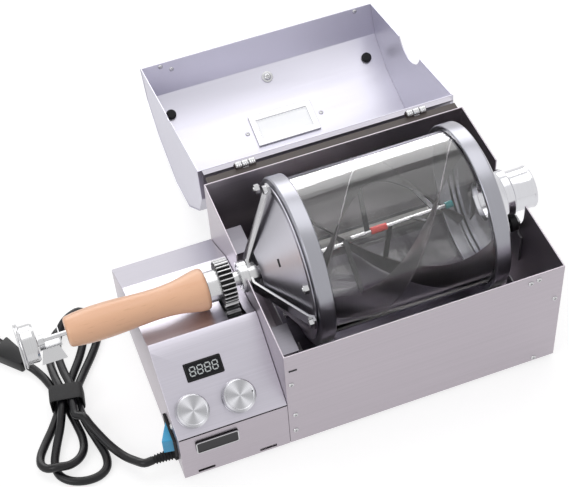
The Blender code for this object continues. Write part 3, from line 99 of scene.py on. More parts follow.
def moved(points, place):
    """Points carried by a 4 by 4 matrix: turned by its square part, then shifted by its last column."""
    matrix = np.array(place)
    return points @ matrix[:3, :3].T + matrix[:3, 3]


def add_piece(name, points, faces, finish, body, stands_for=(), uv=None, sharp_degrees=32.0):
    """A mesh object from arrays, merged, shaded smooth below an angle, and tied to a body."""
    mesh = bpy.data.meshes.new(name)
    mesh.from_pydata(np.asarray(points).tolist(), [], [list(map(int, face)) for face in faces])
    if uv is not None:
        layer = mesh.uv_layers.new(name="UVMap")
        corner = np.zeros(len(mesh.loops), dtype=np.int32)
        mesh.loops.foreach_get("vertex_index", corner)
        layer.data.foreach_set("uv", np.asarray(uv, dtype=np.float32)[corner].reshape(-1))
    shape = bmesh.new()
    shape.from_mesh(mesh)
    bmesh.ops.remove_doubles(shape, verts=shape.verts, dist=merge_distance)
    bmesh.ops.dissolve_degenerate(shape, edges=shape.edges, dist=merge_distance)
    bmesh.ops.recalc_face_normals(shape, faces=shape.faces)
    shape.to_mesh(mesh)
    shape.free()
    mesh.shade_smooth()
    mesh.set_sharp_from_angle(angle=math.radians(sharp_degrees))
    mesh.materials.append(finish)
    made = placed_object(name, mesh)
    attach(made, body)
    if stands_for:
        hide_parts(*stands_for)
    return made


def rounded(points, radius, steps=4):
    """A closed outline with each corner replaced by an arc that starts radius times tan(half turn) before it.
    Corners on the axis, where the second value is zero, stay as they are."""
    points = np.asarray(points, float)
    made = []
    for before, corner, after in zip(np.roll(points, 1, 0), points, np.roll(points, -1, 0)):
        into, out = corner - before, after - corner
        length_in, length_out = np.linalg.norm(into), np.linalg.norm(out)
        if corner[1] < merge_distance or min(length_in, length_out) < merge_distance:
            made.append(corner[None])
            continue
        into, out = into / length_in, out / length_out
        turn = math.acos(float(np.clip(into @ out, -1, 1)))
        if turn < 0.05:
            made.append(corner[None])
            continue
        start = min(radius * math.tan(turn / 2), 0.45 * length_in, 0.45 * length_out)
        t = np.linspace(0, 1, steps + 1)[:, None]
        begin, end = corner - into * start, corner + out * start
        made.append((1 - t) ** 2 * begin + 2 * t * (1 - t) * corner + t ** 2 * end)
    return np.vstack(made)


def aim(position, direction, up=(0.0, 0.0, 1.0)):
    """A matrix whose first axis points along a direction, and whose origin is a position."""
    first = Vector(direction).normalized()
    second = Vector(up).cross(first)
    if second.length < 0.001:
        second = Vector((0.0, 1.0, 0.0))
    second.normalize()
    third = first.cross(second)
    turned_matrix = Matrix((first, second, third)).transposed().to_4x4()
    return Matrix.Translation(position) @ turned_matrix


def revolved(profile, steps):
    """A profile of (along, radius) carried round the first axis: (along, radius sin a, radius cos a)."""
    profile = np.vstack([profile, profile[:1]])
    angle = np.linspace(0, 2 * np.pi, steps + 1)
    along = np.repeat(profile[:, :1], steps + 1, axis=1)
    points = np.stack([along, profile[:, 1:] * np.sin(angle), profile[:, 1:] * np.cos(angle)], axis=-1)
    run = np.concatenate([[0], np.cumsum(np.linalg.norm(np.diff(profile, axis=0), axis=1))])
    uv = np.stack(np.broadcast_arrays(angle[None] / (2 * np.pi), run[:, None] * uv_per_metre), axis=-1)
    return points.reshape(-1, 3), grid_faces(len(profile), steps + 1), uv.reshape(-1, 2)


def turned(name, profile, finish, body, stands_for=(), place=None, steps=96, edge=0.0004, sharp=32.0):
    """A turned piece: a closed profile of (along, radius) with softened corners, carried round an axis."""
    points, faces, uv = revolved(rounded(profile, edge), steps)
    points = moved(points, drum_axis if place is None else place)
    return add_piece(name, points, faces, finish, body, stands_for, uv=uv, sharp_degrees=sharp)


def softened(node, finish, width=0.0003, segments=2):
    """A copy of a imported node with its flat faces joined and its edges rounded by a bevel."""
    mesh = frame["nodes"][node].data.copy()
    mesh.name = node + "_dressed"
    shape = bmesh.new()
    shape.from_mesh(mesh)
    bmesh.ops.remove_doubles(shape, verts=shape.verts, dist=merge_distance)
    bmesh.ops.dissolve_limit(shape, angle_limit=math.radians(flat_degrees), verts=shape.verts,
                             edges=shape.edges)
    shape.to_mesh(mesh)
    shape.free()
    mesh.shade_smooth()
    mesh.set_sharp_from_angle(angle=math.radians(edge_degrees))
    mesh.materials.clear()
    mesh.materials.append(finish)
    made = placed_object(node + "_dressed", mesh)
    edge = made.modifiers.new("soft_edge", "BEVEL")
    edge.width = width
    edge.segments = segments
    edge.limit_method = "ANGLE"
    edge.angle_limit = math.radians(edge_degrees)
    edge.harden_normals = True
    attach(made, body_of[node])
    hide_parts(node)
    return made


merge_distance = 0.000002
uv_per_metre = 10.0
flat_degrees = 0.6
edge_degrees = 30.0
drum_axis = Matrix.Translation((0.0, 0.0, axis_height))
body_of = {node: body for body, nodes in frame["record"]["behaviour"]["bodies"].items() for node in nodes}


def join_shapes(shapes):
    """Several shapes of (points, faces) as one, with the later indices moved past the earlier points."""
    start = 0
    points, faces = [], []
    for some_points, some_faces in shapes:
        points.append(some_points)
        faces.extend((np.asarray(face) + start) for face in some_faces)
        start += len(some_points)
    return np.vstack(points), faces


def box_shape(low, high):
    """A box between two corners, with its faces outward."""
    low, high = np.asarray(low, float), np.asarray(high, float)
    share = np.array([[0, 0, 0], [1, 0, 0], [1, 1, 0], [0, 1, 0], [0, 0, 1], [1, 0, 1], [1, 1, 1], [0, 1, 1]])
    faces = [(0, 3, 2, 1), (4, 5, 6, 7), (0, 1, 5, 4), (1, 2, 6, 5), (2, 3, 7, 6), (3, 0, 4, 7)]
    return low + share * (high - low), faces


def panel_place(x, slope_run, lift=0.0):
    """A matrix on the sloped panel: its first axis leaves the panel, its second runs up the slope."""
    slope = Vector((0.0, math.cos(slope_angle), math.sin(slope_angle)))
    out = Vector((0.0, -math.sin(slope_angle), math.cos(slope_angle)))
    origin = Vector((x, front, case_front_height)) + slope * slope_run + out * lift
    matrix = Matrix((out, slope, out.cross(slope))).transposed().to_4x4()
    return Matrix.Translation(origin) @ matrix


# Materials

def new_finish(name, colour, roughness, metallic=0.0, settings=()):
    """A Principled material, with a value that is the same all over set on the shader's own socket."""
    made = bpy.data.materials.new(name)
    made.use_nodes = True
    shader = made.node_tree.nodes["Principled BSDF"]
    values = {"Base Color": (*colour, 1.0), "Roughness": roughness, "Metallic": metallic, **dict(settings)}
    for socket, value in values.items():
        shader.inputs[socket].default_value = value
    return made, made.node_tree, shader


def add_node(tree, kind, values=(), links=(), **traits):
    """A node with its traits, the values of its sockets, and the outputs that feed its sockets."""
    made = tree.nodes.new(kind)
    for trait, value in traits.items():
        setattr(made, trait, value)
    for socket, value in dict(values).items():
        made.inputs[socket].default_value = value
    for socket, source in dict(links).items():
        tree.links.new(source, made.inputs[socket])
    return made


def stretched(tree, scale=(1.0, 1.0, 1.0), kind="Object", shift=(0.0, 0.0, 0.0)):
    """Object or UV coordinates, shifted and stretched along each axis."""
    source = add_node(tree, "ShaderNodeTexCoord").outputs[kind]
    values = {"Location": shift, "Scale": scale}
    return add_node(tree, "ShaderNodeMapping", values, {"Vector": source}).outputs["Vector"]


def noise(tree, place, scale, detail=3.0, roughness=0.55, distortion=0.0):
    """A noise pattern's value over given coordinates."""
    values = {"Scale": scale, "Detail": detail, "Roughness": roughness, "Distortion": distortion}
    return add_node(tree, "ShaderNodeTexNoise", values, {"Vector": place}).outputs["Fac"]


def between(tree, value, low, high, from_low=0.3, from_high=0.7):
    """A pattern's value spread from one range to another, held at its ends."""
    values = {"From Min": from_low, "From Max": from_high, "To Min": low, "To Max": high}
    return add_node(tree, "ShaderNodeMapRange", values, {"Value": value}).outputs["Result"]


def arithmetic(tree, operation, first, second=None):
    """One step of arithmetic on a pattern's value, with a number or another value."""
    made = add_node(tree, "ShaderNodeMath", (), {0: first}, operation=operation)
    if isinstance(second, float):
        made.inputs[1].default_value = second
    elif second is not None:
        tree.links.new(second, made.inputs[1])
    return made.outputs["Value"]


def colours(tree, value, stops):
    """A colour for a pattern's value, from a ramp of (place, colour) stops."""
    made = add_node(tree, "ShaderNodeValToRGB", (), {"Fac": value})
    ramp = made.color_ramp
    while len(ramp.elements) < len(stops):
        ramp.elements.new(0.5)
    for element, (place, colour) in zip(ramp.elements, stops):
        element.position = place
        element.color = (*colour, 1.0)
    return made.outputs["Color"]


def varied(tree, value, colour, spread):
    """A colour that a pattern makes a little darker and a little paler."""
    return colours(tree, value, [(0.3, shade(colour, 1 - spread)), (0.7, shade(colour, 1 + spread))])


def raise_surface(tree, shader, height, strength, depth):
    """A bump from a pattern's value."""
    made = add_node(tree, "ShaderNodeBump", {"Strength": strength, "Distance": depth}, {"Height": height})
    tree.links.new(made.outputs["Normal"], shader.inputs["Normal"])


def shade(colour, factor):
    """A colour made darker or paler by a factor."""
    return tuple(min(1.0, part * factor) for part in colour)


def brushed_sheet(name, colour, roughness=0.36, grain=(6.0, 900.0, 900.0), spread=0.05):
    """Brushed sheet metal: fine streaks along the grain, and a slow change of gloss like a handled sheet."""
    made, tree, shader = new_finish(name, colour, roughness, 1.0)
    streak = noise(tree, stretched(tree, grain), 1.0, 4.0, 0.6)
    cloud = noise(tree, stretched(tree), 14.0, 2.0)
    tree.links.new(varied(tree, streak, colour, spread), shader.inputs["Base Color"])
    gloss = arithmetic(tree, "ADD", between(tree, streak, roughness - 0.04, roughness + 0.04),
                       between(tree, cloud, -0.02, 0.02))
    tree.links.new(gloss, shader.inputs["Roughness"])
    raise_surface(tree, shader, streak, 0.06, 0.00008)
    return made


def turned_metal(name, colour, roughness=0.26, lines=240.0, spread=0.04, sheen=0.0, painted_reflection_depth=0.0):
    """Turned metal: fine rings that follow the profile, from the second coordinate of the piece's own map.
    Where a depth of painted reflection is given, paler and darker sectors follow the first coordinate: a
    painted reflection that stands for the bow-tie highlight of spun metal."""
    made, tree, shader = new_finish(name, colour, roughness, 1.0, {"Anisotropic": sheen})
    ring = noise(tree, stretched(tree, (0.6, lines, 1.0), "UV"), 1.0, 4.0, 0.65)
    base = varied(tree, ring, colour, spread)
    if painted_reflection_depth:
        base = painted_sector_reflection(tree, base, painted_reflection_depth)
    tree.links.new(base, shader.inputs["Base Color"])
    tree.links.new(between(tree, ring, roughness - 0.03, roughness + 0.03), shader.inputs["Roughness"])
    raise_surface(tree, shader, ring, 0.05, 0.00006)
    if sheen:
        tangent = add_node(tree, "ShaderNodeTangent", direction_type="UV_MAP")
        tree.links.new(tangent.outputs["Tangent"], shader.inputs["Tangent"])
    return made


def painted_sector_reflection(tree, base, depth):
    """A painted reflection for spun metal: a colour times a wave round the piece, the size of the cosine of two
    turns for each turn, cubed.
    """
    split = add_node(tree, "ShaderNodeSeparateXYZ", (), {"Vector": stretched(tree, kind="UV")})
    turn = arithmetic(tree, "ADD", arithmetic(tree, "MULTIPLY", split.outputs["X"], 4 * math.pi), painted_reflection_start)
    painted_reflection_wave = arithmetic(tree, "POWER", arithmetic(tree, "ABSOLUTE", arithmetic(tree, "COSINE", turn)), 3.0)
    factor = between(tree, painted_reflection_wave, 1.0 - depth, 1.0 + 0.45 * depth, 0.0, 1.0)
    links = {0: base, "Scale": factor}
    return add_node(tree, "ShaderNodeVectorMath", (), links, operation="SCALE").outputs["Vector"]


# Where round the piece the painted reflection's brightest sectors start.
painted_reflection_start = 0.9
teeth_start = -0.0951
tooth_root = 0.0172
tooth_tip = 0.0192


def grease_and_painted_shade_gear():
    """Cut steel whose tooth roots are painted dark, as grease and as painted shade in the gaps between the
    teeth:
    the colour follows the distance from the drum's axis, and the plain sleeve beside the teeth stays bright."""
    made, tree, shader = new_finish("gear_steel_grease_and_painted_shade", (0.42, 0.42, 0.43), 0.30, 1.0)
    outward = stretched(tree, (0.0, 1.0, 1.0), shift=(0.0, 0.0, -axis_height))
    radius = add_node(tree, "ShaderNodeVectorMath", (), {0: outward}, operation="LENGTH").outputs["Value"]
    split = add_node(tree, "ShaderNodeSeparateXYZ", (), {"Vector": stretched(tree)})
    sleeve = arithmetic(tree, "LESS_THAN", split.outputs["X"], teeth_start)
    depth = arithmetic(tree, "MAXIMUM", between(tree, radius, 0.0, 1.0, tooth_root, tooth_tip), sleeve)
    # Near-black at the tooth roots, dark low on the teeth: painted shade in the gaps, with grease.
    base = colours(tree, depth, [(0.0, (0.025, 0.024, 0.025)), (0.55, (0.10, 0.10, 0.10)),
                                 (1.0, (0.60, 0.60, 0.61))])
    tree.links.new(base, shader.inputs["Base Color"])
    tree.links.new(between(tree, depth, 0.55, 0.26, 0.0, 1.0), shader.inputs["Roughness"])
    raise_surface(tree, shader, noise(tree, stretched(tree, (900.0, 400.0, 400.0)), 1.0, 3.0), 0.1, 0.00008)
    return made


def moulded(name, colour, roughness=0.45, grain=2200.0, depth=0.00006, settings=()):
    """Moulded plastic or rubber: a fine spark grain, with a little change of tone and gloss."""
    made, tree, shader = new_finish(name, colour, roughness, 0.0, settings)
    place = stretched(tree)
    fine = noise(tree, place, grain, 2.0)
    cloud = noise(tree, place, 60.0, 2.0)
    tree.links.new(varied(tree, cloud, colour, 0.08), shader.inputs["Base Color"])
    tree.links.new(between(tree, fine, roughness - 0.05, roughness + 0.05), shader.inputs["Roughness"])
    raise_surface(tree, shader, fine, 0.15, depth)
    return made


def beech():
    """Oiled beech: long soft grain along the handle, short darker flecks, and fine pores."""
    pale, warm, deep = (0.98, 0.565, 0.355), (0.91, 0.475, 0.265), (0.62, 0.29, 0.14)
    made, tree, shader = new_finish("beech", pale, 0.34, 0.0, {"Coat Weight": 0.25, "Coat Roughness": 0.22})
    slow = noise(tree, stretched(tree, (5.0, 55.0, 55.0)), 1.0, 3.0, 0.5, 0.6)
    fleck = noise(tree, stretched(tree, (75.0, 520.0, 520.0)), 1.0, 2.0, 0.5)
    base = colours(tree, slow, [(0.30, warm), (0.50, pale), (0.72, shade(pale, 1.05))])
    marks = colours(tree, fleck, [(0.62, (0.0, 0.0, 0.0)), (0.78, (1.0, 1.0, 1.0))])
    share = arithmetic(tree, "MULTIPLY", marks, 0.32)
    mixed = add_node(tree, "ShaderNodeMix", {7: (*deep, 1.0)}, {0: share, 6: base}, data_type="RGBA")
    tree.links.new(mixed.outputs[2], shader.inputs["Base Color"])
    tree.links.new(between(tree, slow, 0.30, 0.40), shader.inputs["Roughness"])
    raise_surface(tree, shader, fleck, 0.10, 0.00010)
    return made


def clear_glass(name, tint=(1.0, 1.0, 1.0)):
    """Clear glass with faint polishing haze."""
    settings = {"Transmission Weight": 1.0, "IOR": 1.45, "Specular IOR Level": 0.5}
    made, tree, shader = new_finish(name, tint, 0.0, 0.0, settings)
    haze = noise(tree, stretched(tree), 40.0, 2.0)
    tree.links.new(between(tree, haze, 0.0, 0.02), shader.inputs["Roughness"])
    return made


def cord_rubber():
    """The cord's glossy black jacket, with slow waves of gloss along it."""
    settings = {"Specular IOR Level": 0.35}
    made, tree, shader = new_finish("cord_jacket", (0.006, 0.006, 0.008), 0.30, 0.0, settings)
    wave = noise(tree, stretched(tree), 120.0, 3.0)
    tree.links.new(colours(tree, wave, [(0.3, (0.004, 0.004, 0.005)), (0.7, (0.009, 0.009, 0.011))]),
                   shader.inputs["Base Color"])
    tree.links.new(between(tree, wave, 0.26, 0.40), shader.inputs["Roughness"])
    raise_surface(tree, shader, noise(tree, stretched(tree), 1800.0, 2.0), 0.08, 0.00006)
    return made


steel_tint = (0.46, 0.42, 0.46)
body_sheet = brushed_sheet("brushed_stainless", steel_tint)
panel_sheet = brushed_sheet("panel_stainless", (0.53, 0.51, 0.57), 0.34)
lid_sheet_finish = brushed_sheet("lid_stainless", (0.56, 0.55, 0.62), 0.38, spread=0.012)
# A darker copy of the stainless: painted shade for the shelf bracket and the lid's hinge strip.
shaded_inner_sheet = brushed_sheet("inner_stainless_painted_shade", (0.26, 0.25, 0.28), 0.42)
# The vanes' near-black colour is painted shade for the dark inside of the drum.
vane_sheet = brushed_sheet("vane_painted_shade", (0.13, 0.12, 0.13), 0.40, spread=0.2)
# The reflector tray's near-black colour is painted shade for the dark inside of the chamber.
tray_painted_shade = brushed_sheet("liner_painted_shade", (0.11, 0.10, 0.125), 0.42, spread=0.15)
zinc = brushed_sheet("zinc_plated_sheet", (0.46, 0.46, 0.47), 0.42)
ring_metal = turned_metal("turned_aluminium_ring", (0.345, 0.345, 0.38), 0.30, spread=0.015)
# The last value of these two is the depth of a painted reflection: paler and darker sectors round the piece.
cone_metal = turned_metal("spun_cone_painted_reflection", (0.52, 0.51, 0.56), 0.30, 300.0, 0.03, 0.45, 0.22)
knob_metal = turned_metal("spun_knob_painted_reflection", (0.62, 0.62, 0.65), 0.26, 420.0, 0.04, 0.60, 0.34)
outlet_metal = turned_metal("polished_outlet", (0.66, 0.66, 0.69), 0.14, 180.0, 0.03)
bright_steel = turned_metal("bright_steel", (0.56, 0.56, 0.57), 0.22, 200.0, 0.05)
gear_steel = grease_and_painted_shade_gear()
pinion_steel = brushed_sheet("pinion_steel", (0.24, 0.24, 0.25), 0.34, (400.0, 400.0, 400.0), 0.12)
dark_steel = brushed_sheet("blackened_steel", (0.045, 0.045, 0.048), 0.38, (300.0, 300.0, 300.0), 0.2)
# Dark brown: painted shade on the hinge strip, with a painted reflection of the beech handle.
hinge_painted_shade = moulded("hinge_strip_painted_shade_and_reflection", (0.045, 0.030, 0.026), 0.40)
wood = beech()
drum_glass_finish = clear_glass("drum_glass")
window_glass_finish = clear_glass("window_glass", (0.97, 0.98, 1.0))
cord_jacket = cord_rubber()
soft_rubber = moulded("soft_black_rubber", (0.010, 0.010, 0.011), 0.60, settings={"Specular IOR Level": 0.3})
black_plastic = moulded("black_plastic", (0.008, 0.008, 0.009), 0.40, settings={"Specular IOR Level": 0.3})
blue_plastic = moulded("light_blue_plastic", (0.055, 0.46, 0.80), 0.30)
red_plastic = moulded("red_sleeve", (0.62, 0.028, 0.022), 0.38)
teal_plastic = moulded("teal_end", (0.02, 0.26, 0.27), 0.40)
tube_quartz = moulded("heater_tube", (0.55, 0.54, 0.52), 0.30)
board_green = moulded("board_green", (0.03, 0.16, 0.07), 0.45)
dial_face = moulded("dial_face", (0.82, 0.82, 0.80), 0.38)
dial_mark = moulded("dial_mark", (0.03, 0.03, 0.03), 0.5)
display_window = moulded("smoked_display", (0.006, 0.006, 0.009), 0.20, settings={"Specular IOR Level": 0.2})
lit_segment = moulded("pale_segment", (0.62, 0.66, 0.66), 0.45)
tie_fabric = moulded("tie_fabric", (0.020, 0.020, 0.021), 0.75, 900.0, 0.0002)
bare_plate = moulded("bare_plate", (0.010, 0.009, 0.012), 0.34, 600.0, 0.00004, {"Specular IOR Level": 0.35})

# Drum

ring_radius = 0.072
ring_width = 0.0136
ring_lip_radius = 0.0615
glass_radius = 0.067
glass_wall = 0.003
left_ring = -0.0332
right_ring = 0.1192
cone_start = -0.0620
cone_end = -0.0335
cone_small_radius = 0.0204
flange_radius = 0.066
outlet_radius = 0.018


def make_rings():
    """Two turned rings: a broad rim with a step inside it that holds the glass."""
    for name, start, inward in (("left", left_ring, 1), ("right", right_ring, -1)):
        outer = start if inward > 0 else start + ring_width
        inner = outer + inward * ring_width
        lip = outer + inward * 0.0034
        profile = [(outer, ring_lip_radius), (outer, ring_radius - 0.0012),
                   (outer + inward * 0.0012, ring_radius),
                   (inner - inward * 0.0008, ring_radius), (inner, ring_radius - 0.0008),
                   (inner, glass_radius + 0.0004), (lip, glass_radius + 0.0004), (lip, ring_lip_radius)]
        turned(f"drum_ring_{name}_turned", profile, ring_metal, "drum", [f"drum_ring_{name}"], steps=160,
               edge=0.0008)


def make_glass():
    """The glass cylinder, with ground ends."""
    outer, inner = glass_radius, glass_radius - glass_wall
    profile = [(-0.0295, inner), (-0.0295, outer), (0.1291, outer), (0.1291, inner)]
    turned("drum_glass_tube", profile, drum_glass_finish, "drum", ["drum_glass"], steps=160, edge=0.0006)


def make_cone():
    """The spun cone: a slightly flared wall between its flange and the neck's hub, with a rolled edge."""
    t = np.linspace(0, 1, 9)
    along = cone_end - 0.0016 + (cone_start - cone_end + 0.0016) * t
    radius = flange_radius - 0.0055 + (cone_small_radius - flange_radius + 0.0055) * (t + 0.10 * t * (1 - t))
    outer = np.stack([along, radius], axis=1)
    wall = 0.0014
    inner = np.stack([along + 0.8 * wall, radius - 0.8 * wall], axis=1)[::-1]
    rim = [(cone_end, flange_radius - 0.0070), (cone_end, flange_radius), (cone_end - 0.0014, flange_radius)]
    profile = np.vstack([rim, outer, inner])
    turned("drum_cone_spun", profile, cone_metal, "drum", ["drum_cone"], steps=160, edge=0.0005)


def make_outlet():
    """The outlet: a flat cap, a flare, a collar and the open tube with its rolled mouth."""
    wall = 0.0015
    inner = outlet_radius - wall
    profile = [(0.1331, inner), (0.1331, flange_radius - 0.001), (0.1341, flange_radius),
               (0.1352, flange_radius - 0.0006), (0.1366, 0.0600), (0.1390, 0.0420), (0.1440, 0.0300),
               (0.1520, 0.0236), (0.1545, 0.0215), (0.1610, 0.0215), (0.1622, 0.0200),
               (0.1630, outlet_radius),
               (0.1800, outlet_radius), (0.1818, outlet_radius + 0.0006), (0.1830, outlet_radius),
               (0.1830, inner + 0.0004), (0.1815, inner), (0.1450, inner), (0.1380, inner + 0.003)]
    turned("drum_outlet_cap", profile, outlet_metal, "drum", ["drum_outlet"], steps=128, edge=0.0008)


def hex_nut(place, across, height):
    """A hexagonal nut: a hexagon outline drawn in to a circle at its top, with a stud's end above it."""
    angle = np.linspace(0, 2 * np.pi, 49)[:-1]
    flat = np.cos(np.pi / 6) / np.cos((angle % (np.pi / 3)) - np.pi / 6)
    rings = [(0.0, 0.0, 1), (0.0, across, 1), (0.8 * height, across, 1), (height, 0.90 * across, 0),
             (height, 0.50 * across, 0), (1.25 * height, 0.46 * across, 0), (1.25 * height, 0.0, 0)]
    rows = []
    for along, radius, hexed in rings:
        reach = radius * (flat if hexed else np.minimum(flat, 0.93) / 0.93)
        ring = [np.full_like(angle, along), reach * np.sin(angle), reach * np.cos(angle)]
        rows.append(np.stack(ring, axis=1))
    points = np.concatenate([np.vstack([row, row[:1]]) for row in rows])
    return moved(points, place), grid_faces(len(rings), len(angle) + 1)


def pan_screw(place, radius, height, recess=0.45):
    """A pan head with a cross recess: a dome over a disc, lowered where either axis is near zero."""
    share = np.linspace(0, 1, 13)[:, None]
    angle = np.linspace(0, 2 * np.pi, 41)[None]
    across, up = radius * share * np.sin(angle), radius * share * np.cos(angle)
    dome = height * np.sqrt(np.clip(1.0 - 0.92 * share ** 4, 0, 1)) * np.ones_like(angle)
    cross = (np.minimum(np.abs(across), np.abs(up)) < 0.13 * radius) & (share < recess)
    top = np.stack([np.where(cross, 0.35 * dome, dome), across, up], axis=-1)
    skirt = np.stack([np.full_like(angle[0], -0.3 * height), across[-1], up[-1]], axis=-1)[None]
    points = np.concatenate([top, skirt]).reshape(-1, 3)
    return moved(points, place), grid_faces(14, 41)


def make_spider():
    """The three-armed spider: its flat arms with softened edges, and a hexagonal nut on each arm's foot."""
    softened("drum_spider", bright_steel, 0.0004)
    shapes = []
    for degrees in (60.0, 180.0, 300.0):
        angle = math.radians(degrees)
        out = Vector((0.0, math.sin(angle), math.cos(angle)))
        position = Vector((-0.0372, 0.0, axis_height)) + out * 0.0662
        shapes.append(hex_nut(aim(position, (-1.0, 0.0, 0.0)), 0.0042, 0.0040))
    points, faces = join_shapes(shapes)
    add_piece("spider_nuts", points, faces, bright_steel, "drum")


def make_neck():
    """The neck tube, the gear with its sleeve, the pinion and the grooved ring of the neck bearing."""
    softened("drum_neck", bright_steel, 0.0002)
    softened("drum_gear", gear_steel, 0.00025)
    softened("motor_pinion", pinion_steel, 0.0002)
    groove = [(0.0, 0.0068), (0.0, 0.0092), (0.0007, 0.0094), (0.0007, 0.0112), (0.0, 0.0114), (0.0, 0.0132)]
    profile = [(-0.0769 + depth, radius) for depth, radius in groove]
    profile += [(-0.0699 - depth, radius) for depth, radius in reversed(groove)]
    turned("neck_bearing_turned", profile, bright_steel, body_of["neck_bearing"], ["neck_bearing"], steps=64,
           edge=0.0002)


def make_stirring_rod():
    """The thin rod seen through the glass, with a red sleeve and a teal end, and the spokes that carry it
    from the vanes: spokes at shares of the vanes' length, each along its vane's own angle there."""
    start = np.array([rod_start, 0.0, axis_height + 0.0052])
    end = np.array([rod_end, 0.0, axis_height + 0.0087])
    place = aim(start, end - start)
    long = float(np.linalg.norm(end - start))
    for name, low, high, radius, finish, kind in (
            ("stirring_rod", 0.0, long, 0.0016, bright_steel, "steel"),
            ("stirring_rod_sleeve", 0.20 * long, 0.36 * long, 0.0031, red_plastic, "blue_plastic"),
            ("stirring_rod_end", 0.95 * long, long + 0.002, 0.0029, teal_plastic, "blue_plastic")):
        profile = [(low, 0.0), (low, radius), (high, radius), (high, 0.0)]
        piece = turned(name, profile, finish, "drum", place=place, steps=24, edge=0.0005)
    shapes = []
    for share, vane in ((0.30, 0), (0.42, 2), (0.54, 1), (0.66, 0), (0.78, 2)):
        along = vane_start + vane_length * share
        angle = math.radians(vane_first_degrees + 120.0 * vane - vane_twist_degrees * share)
        out = Vector((0.0, math.sin(angle), -math.cos(angle)))
        inside = Vector(start + (end - start) * (along - rod_start) / (rod_end - rod_start))
        outside = Vector((along, 0.0, axis_height)) + out * 0.0440
        points, faces = box_shape((0.0, -0.0006, -0.0020), ((outside - inside).length, 0.0006, 0.0020))
        shapes.append((moved(points, aim(inside, outside - inside, (1.0, 0.0, 0.0))), faces))
    points, faces = join_shapes(shapes)
    add_piece("stirring_rod_spokes", points, faces, dark_steel, "drum")


rod_start = 0.0230
rod_end = 0.1075
vane_start = -0.0291
vane_length = 0.1578
vane_first_degrees = 7.0
vane_twist_degrees = 220.0


def make_cone_slot():
    """A thin dark box on the cone's wall: painted shade that stands for the short slot pressed into it."""
    points, faces = box_shape((-0.0006, -0.0034, -0.0009), (0.0003, 0.0034, 0.0009))
    out = Vector((-0.80, -0.36, 0.48))
    place = aim((-0.0489, -0.0230, 0.1369), out, (1.0, 0.0, 0.0))
    add_piece("cone_slot_painted_shade", moved(points, place), faces, dark_steel, "drum")


def make_handle():
    """The beech handle: a thick collar at the gear, a waist, a long belly and a rounded end."""
    right, length, widest = -0.1053, 0.1177, 0.0177
    bore, counterbore, counterbore_depth = 0.0028, 0.0064, 0.022
    radius_share = np.array([0.80, 0.93, 1.00, 0.985, 0.94, 0.85, 0.78, 0.735, 0.72,
                             0.735, 0.76, 0.80, 0.825, 0.825, 0.80, 0.77, 0.71, 0.62])
    place_share = np.array([0.0, 0.003, 0.025, 0.06, 0.10, 0.16, 0.22, 0.29, 0.36,
                            0.44, 0.52, 0.61, 0.70, 0.80, 0.88, 0.93, 0.985, 1.0])
    outer = np.stack([right - length * place_share, widest * radius_share], axis=1)
    step = right - counterbore_depth
    inner = np.array([[right - length, bore], [step, bore], [step, counterbore], [right, counterbore]])
    turned("beech_handle", np.vstack([outer, inner]), wood, body_of["wood_handle"], ["wood_handle"], steps=96,
           edge=0.0030, sharp=50.0)

# Dial thermometer



def dial_marks(count, inner, outer, width):
    """Ticks on a dial, as thin boxes turned round its middle by equal steps over three quarters of a turn."""
    shapes = []
    for step in range(count):
        turn = Matrix.Rotation(math.radians(-135.0 + 270.0 * step / (count - 1)), 4, "X")
        low = (dial_plane - 0.00018, -width / 2, inner)
        points, faces = box_shape(low, (dial_plane + 0.0001, width / 2, outer))
        shapes.append((moved(points, drum_axis @ turn), faces))
    return shapes


def text_piece(name, words, size, place, finish, body):
    """Plain digits as a thin mesh that faces along the first axis of its place."""
    curve = bpy.data.curves.new(name, "FONT")
    curve.body = words
    curve.size = size
    curve.extrude = 0.00006
    curve.resolution_u = 3
    curve.align_x = "CENTER"
    curve.align_y = "CENTER"
    made = bpy.data.objects.new(name, curve)
    bpy.context.scene.collection.objects.link(made)
    mesh = bpy.data.meshes.new_from_object(made)
    bpy.data.objects.remove(made, do_unlink=True)
    upright = Matrix(((0, 0, 1, 0), (1, 0, 0, 0), (0, 1, 0, 0), (0, 0, 0, 1)))
    mesh.transform(place @ upright)
    mesh.materials.clear()
    mesh.materials.append(finish)
    made = placed_object(name, mesh)
    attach(made, body)
    return made


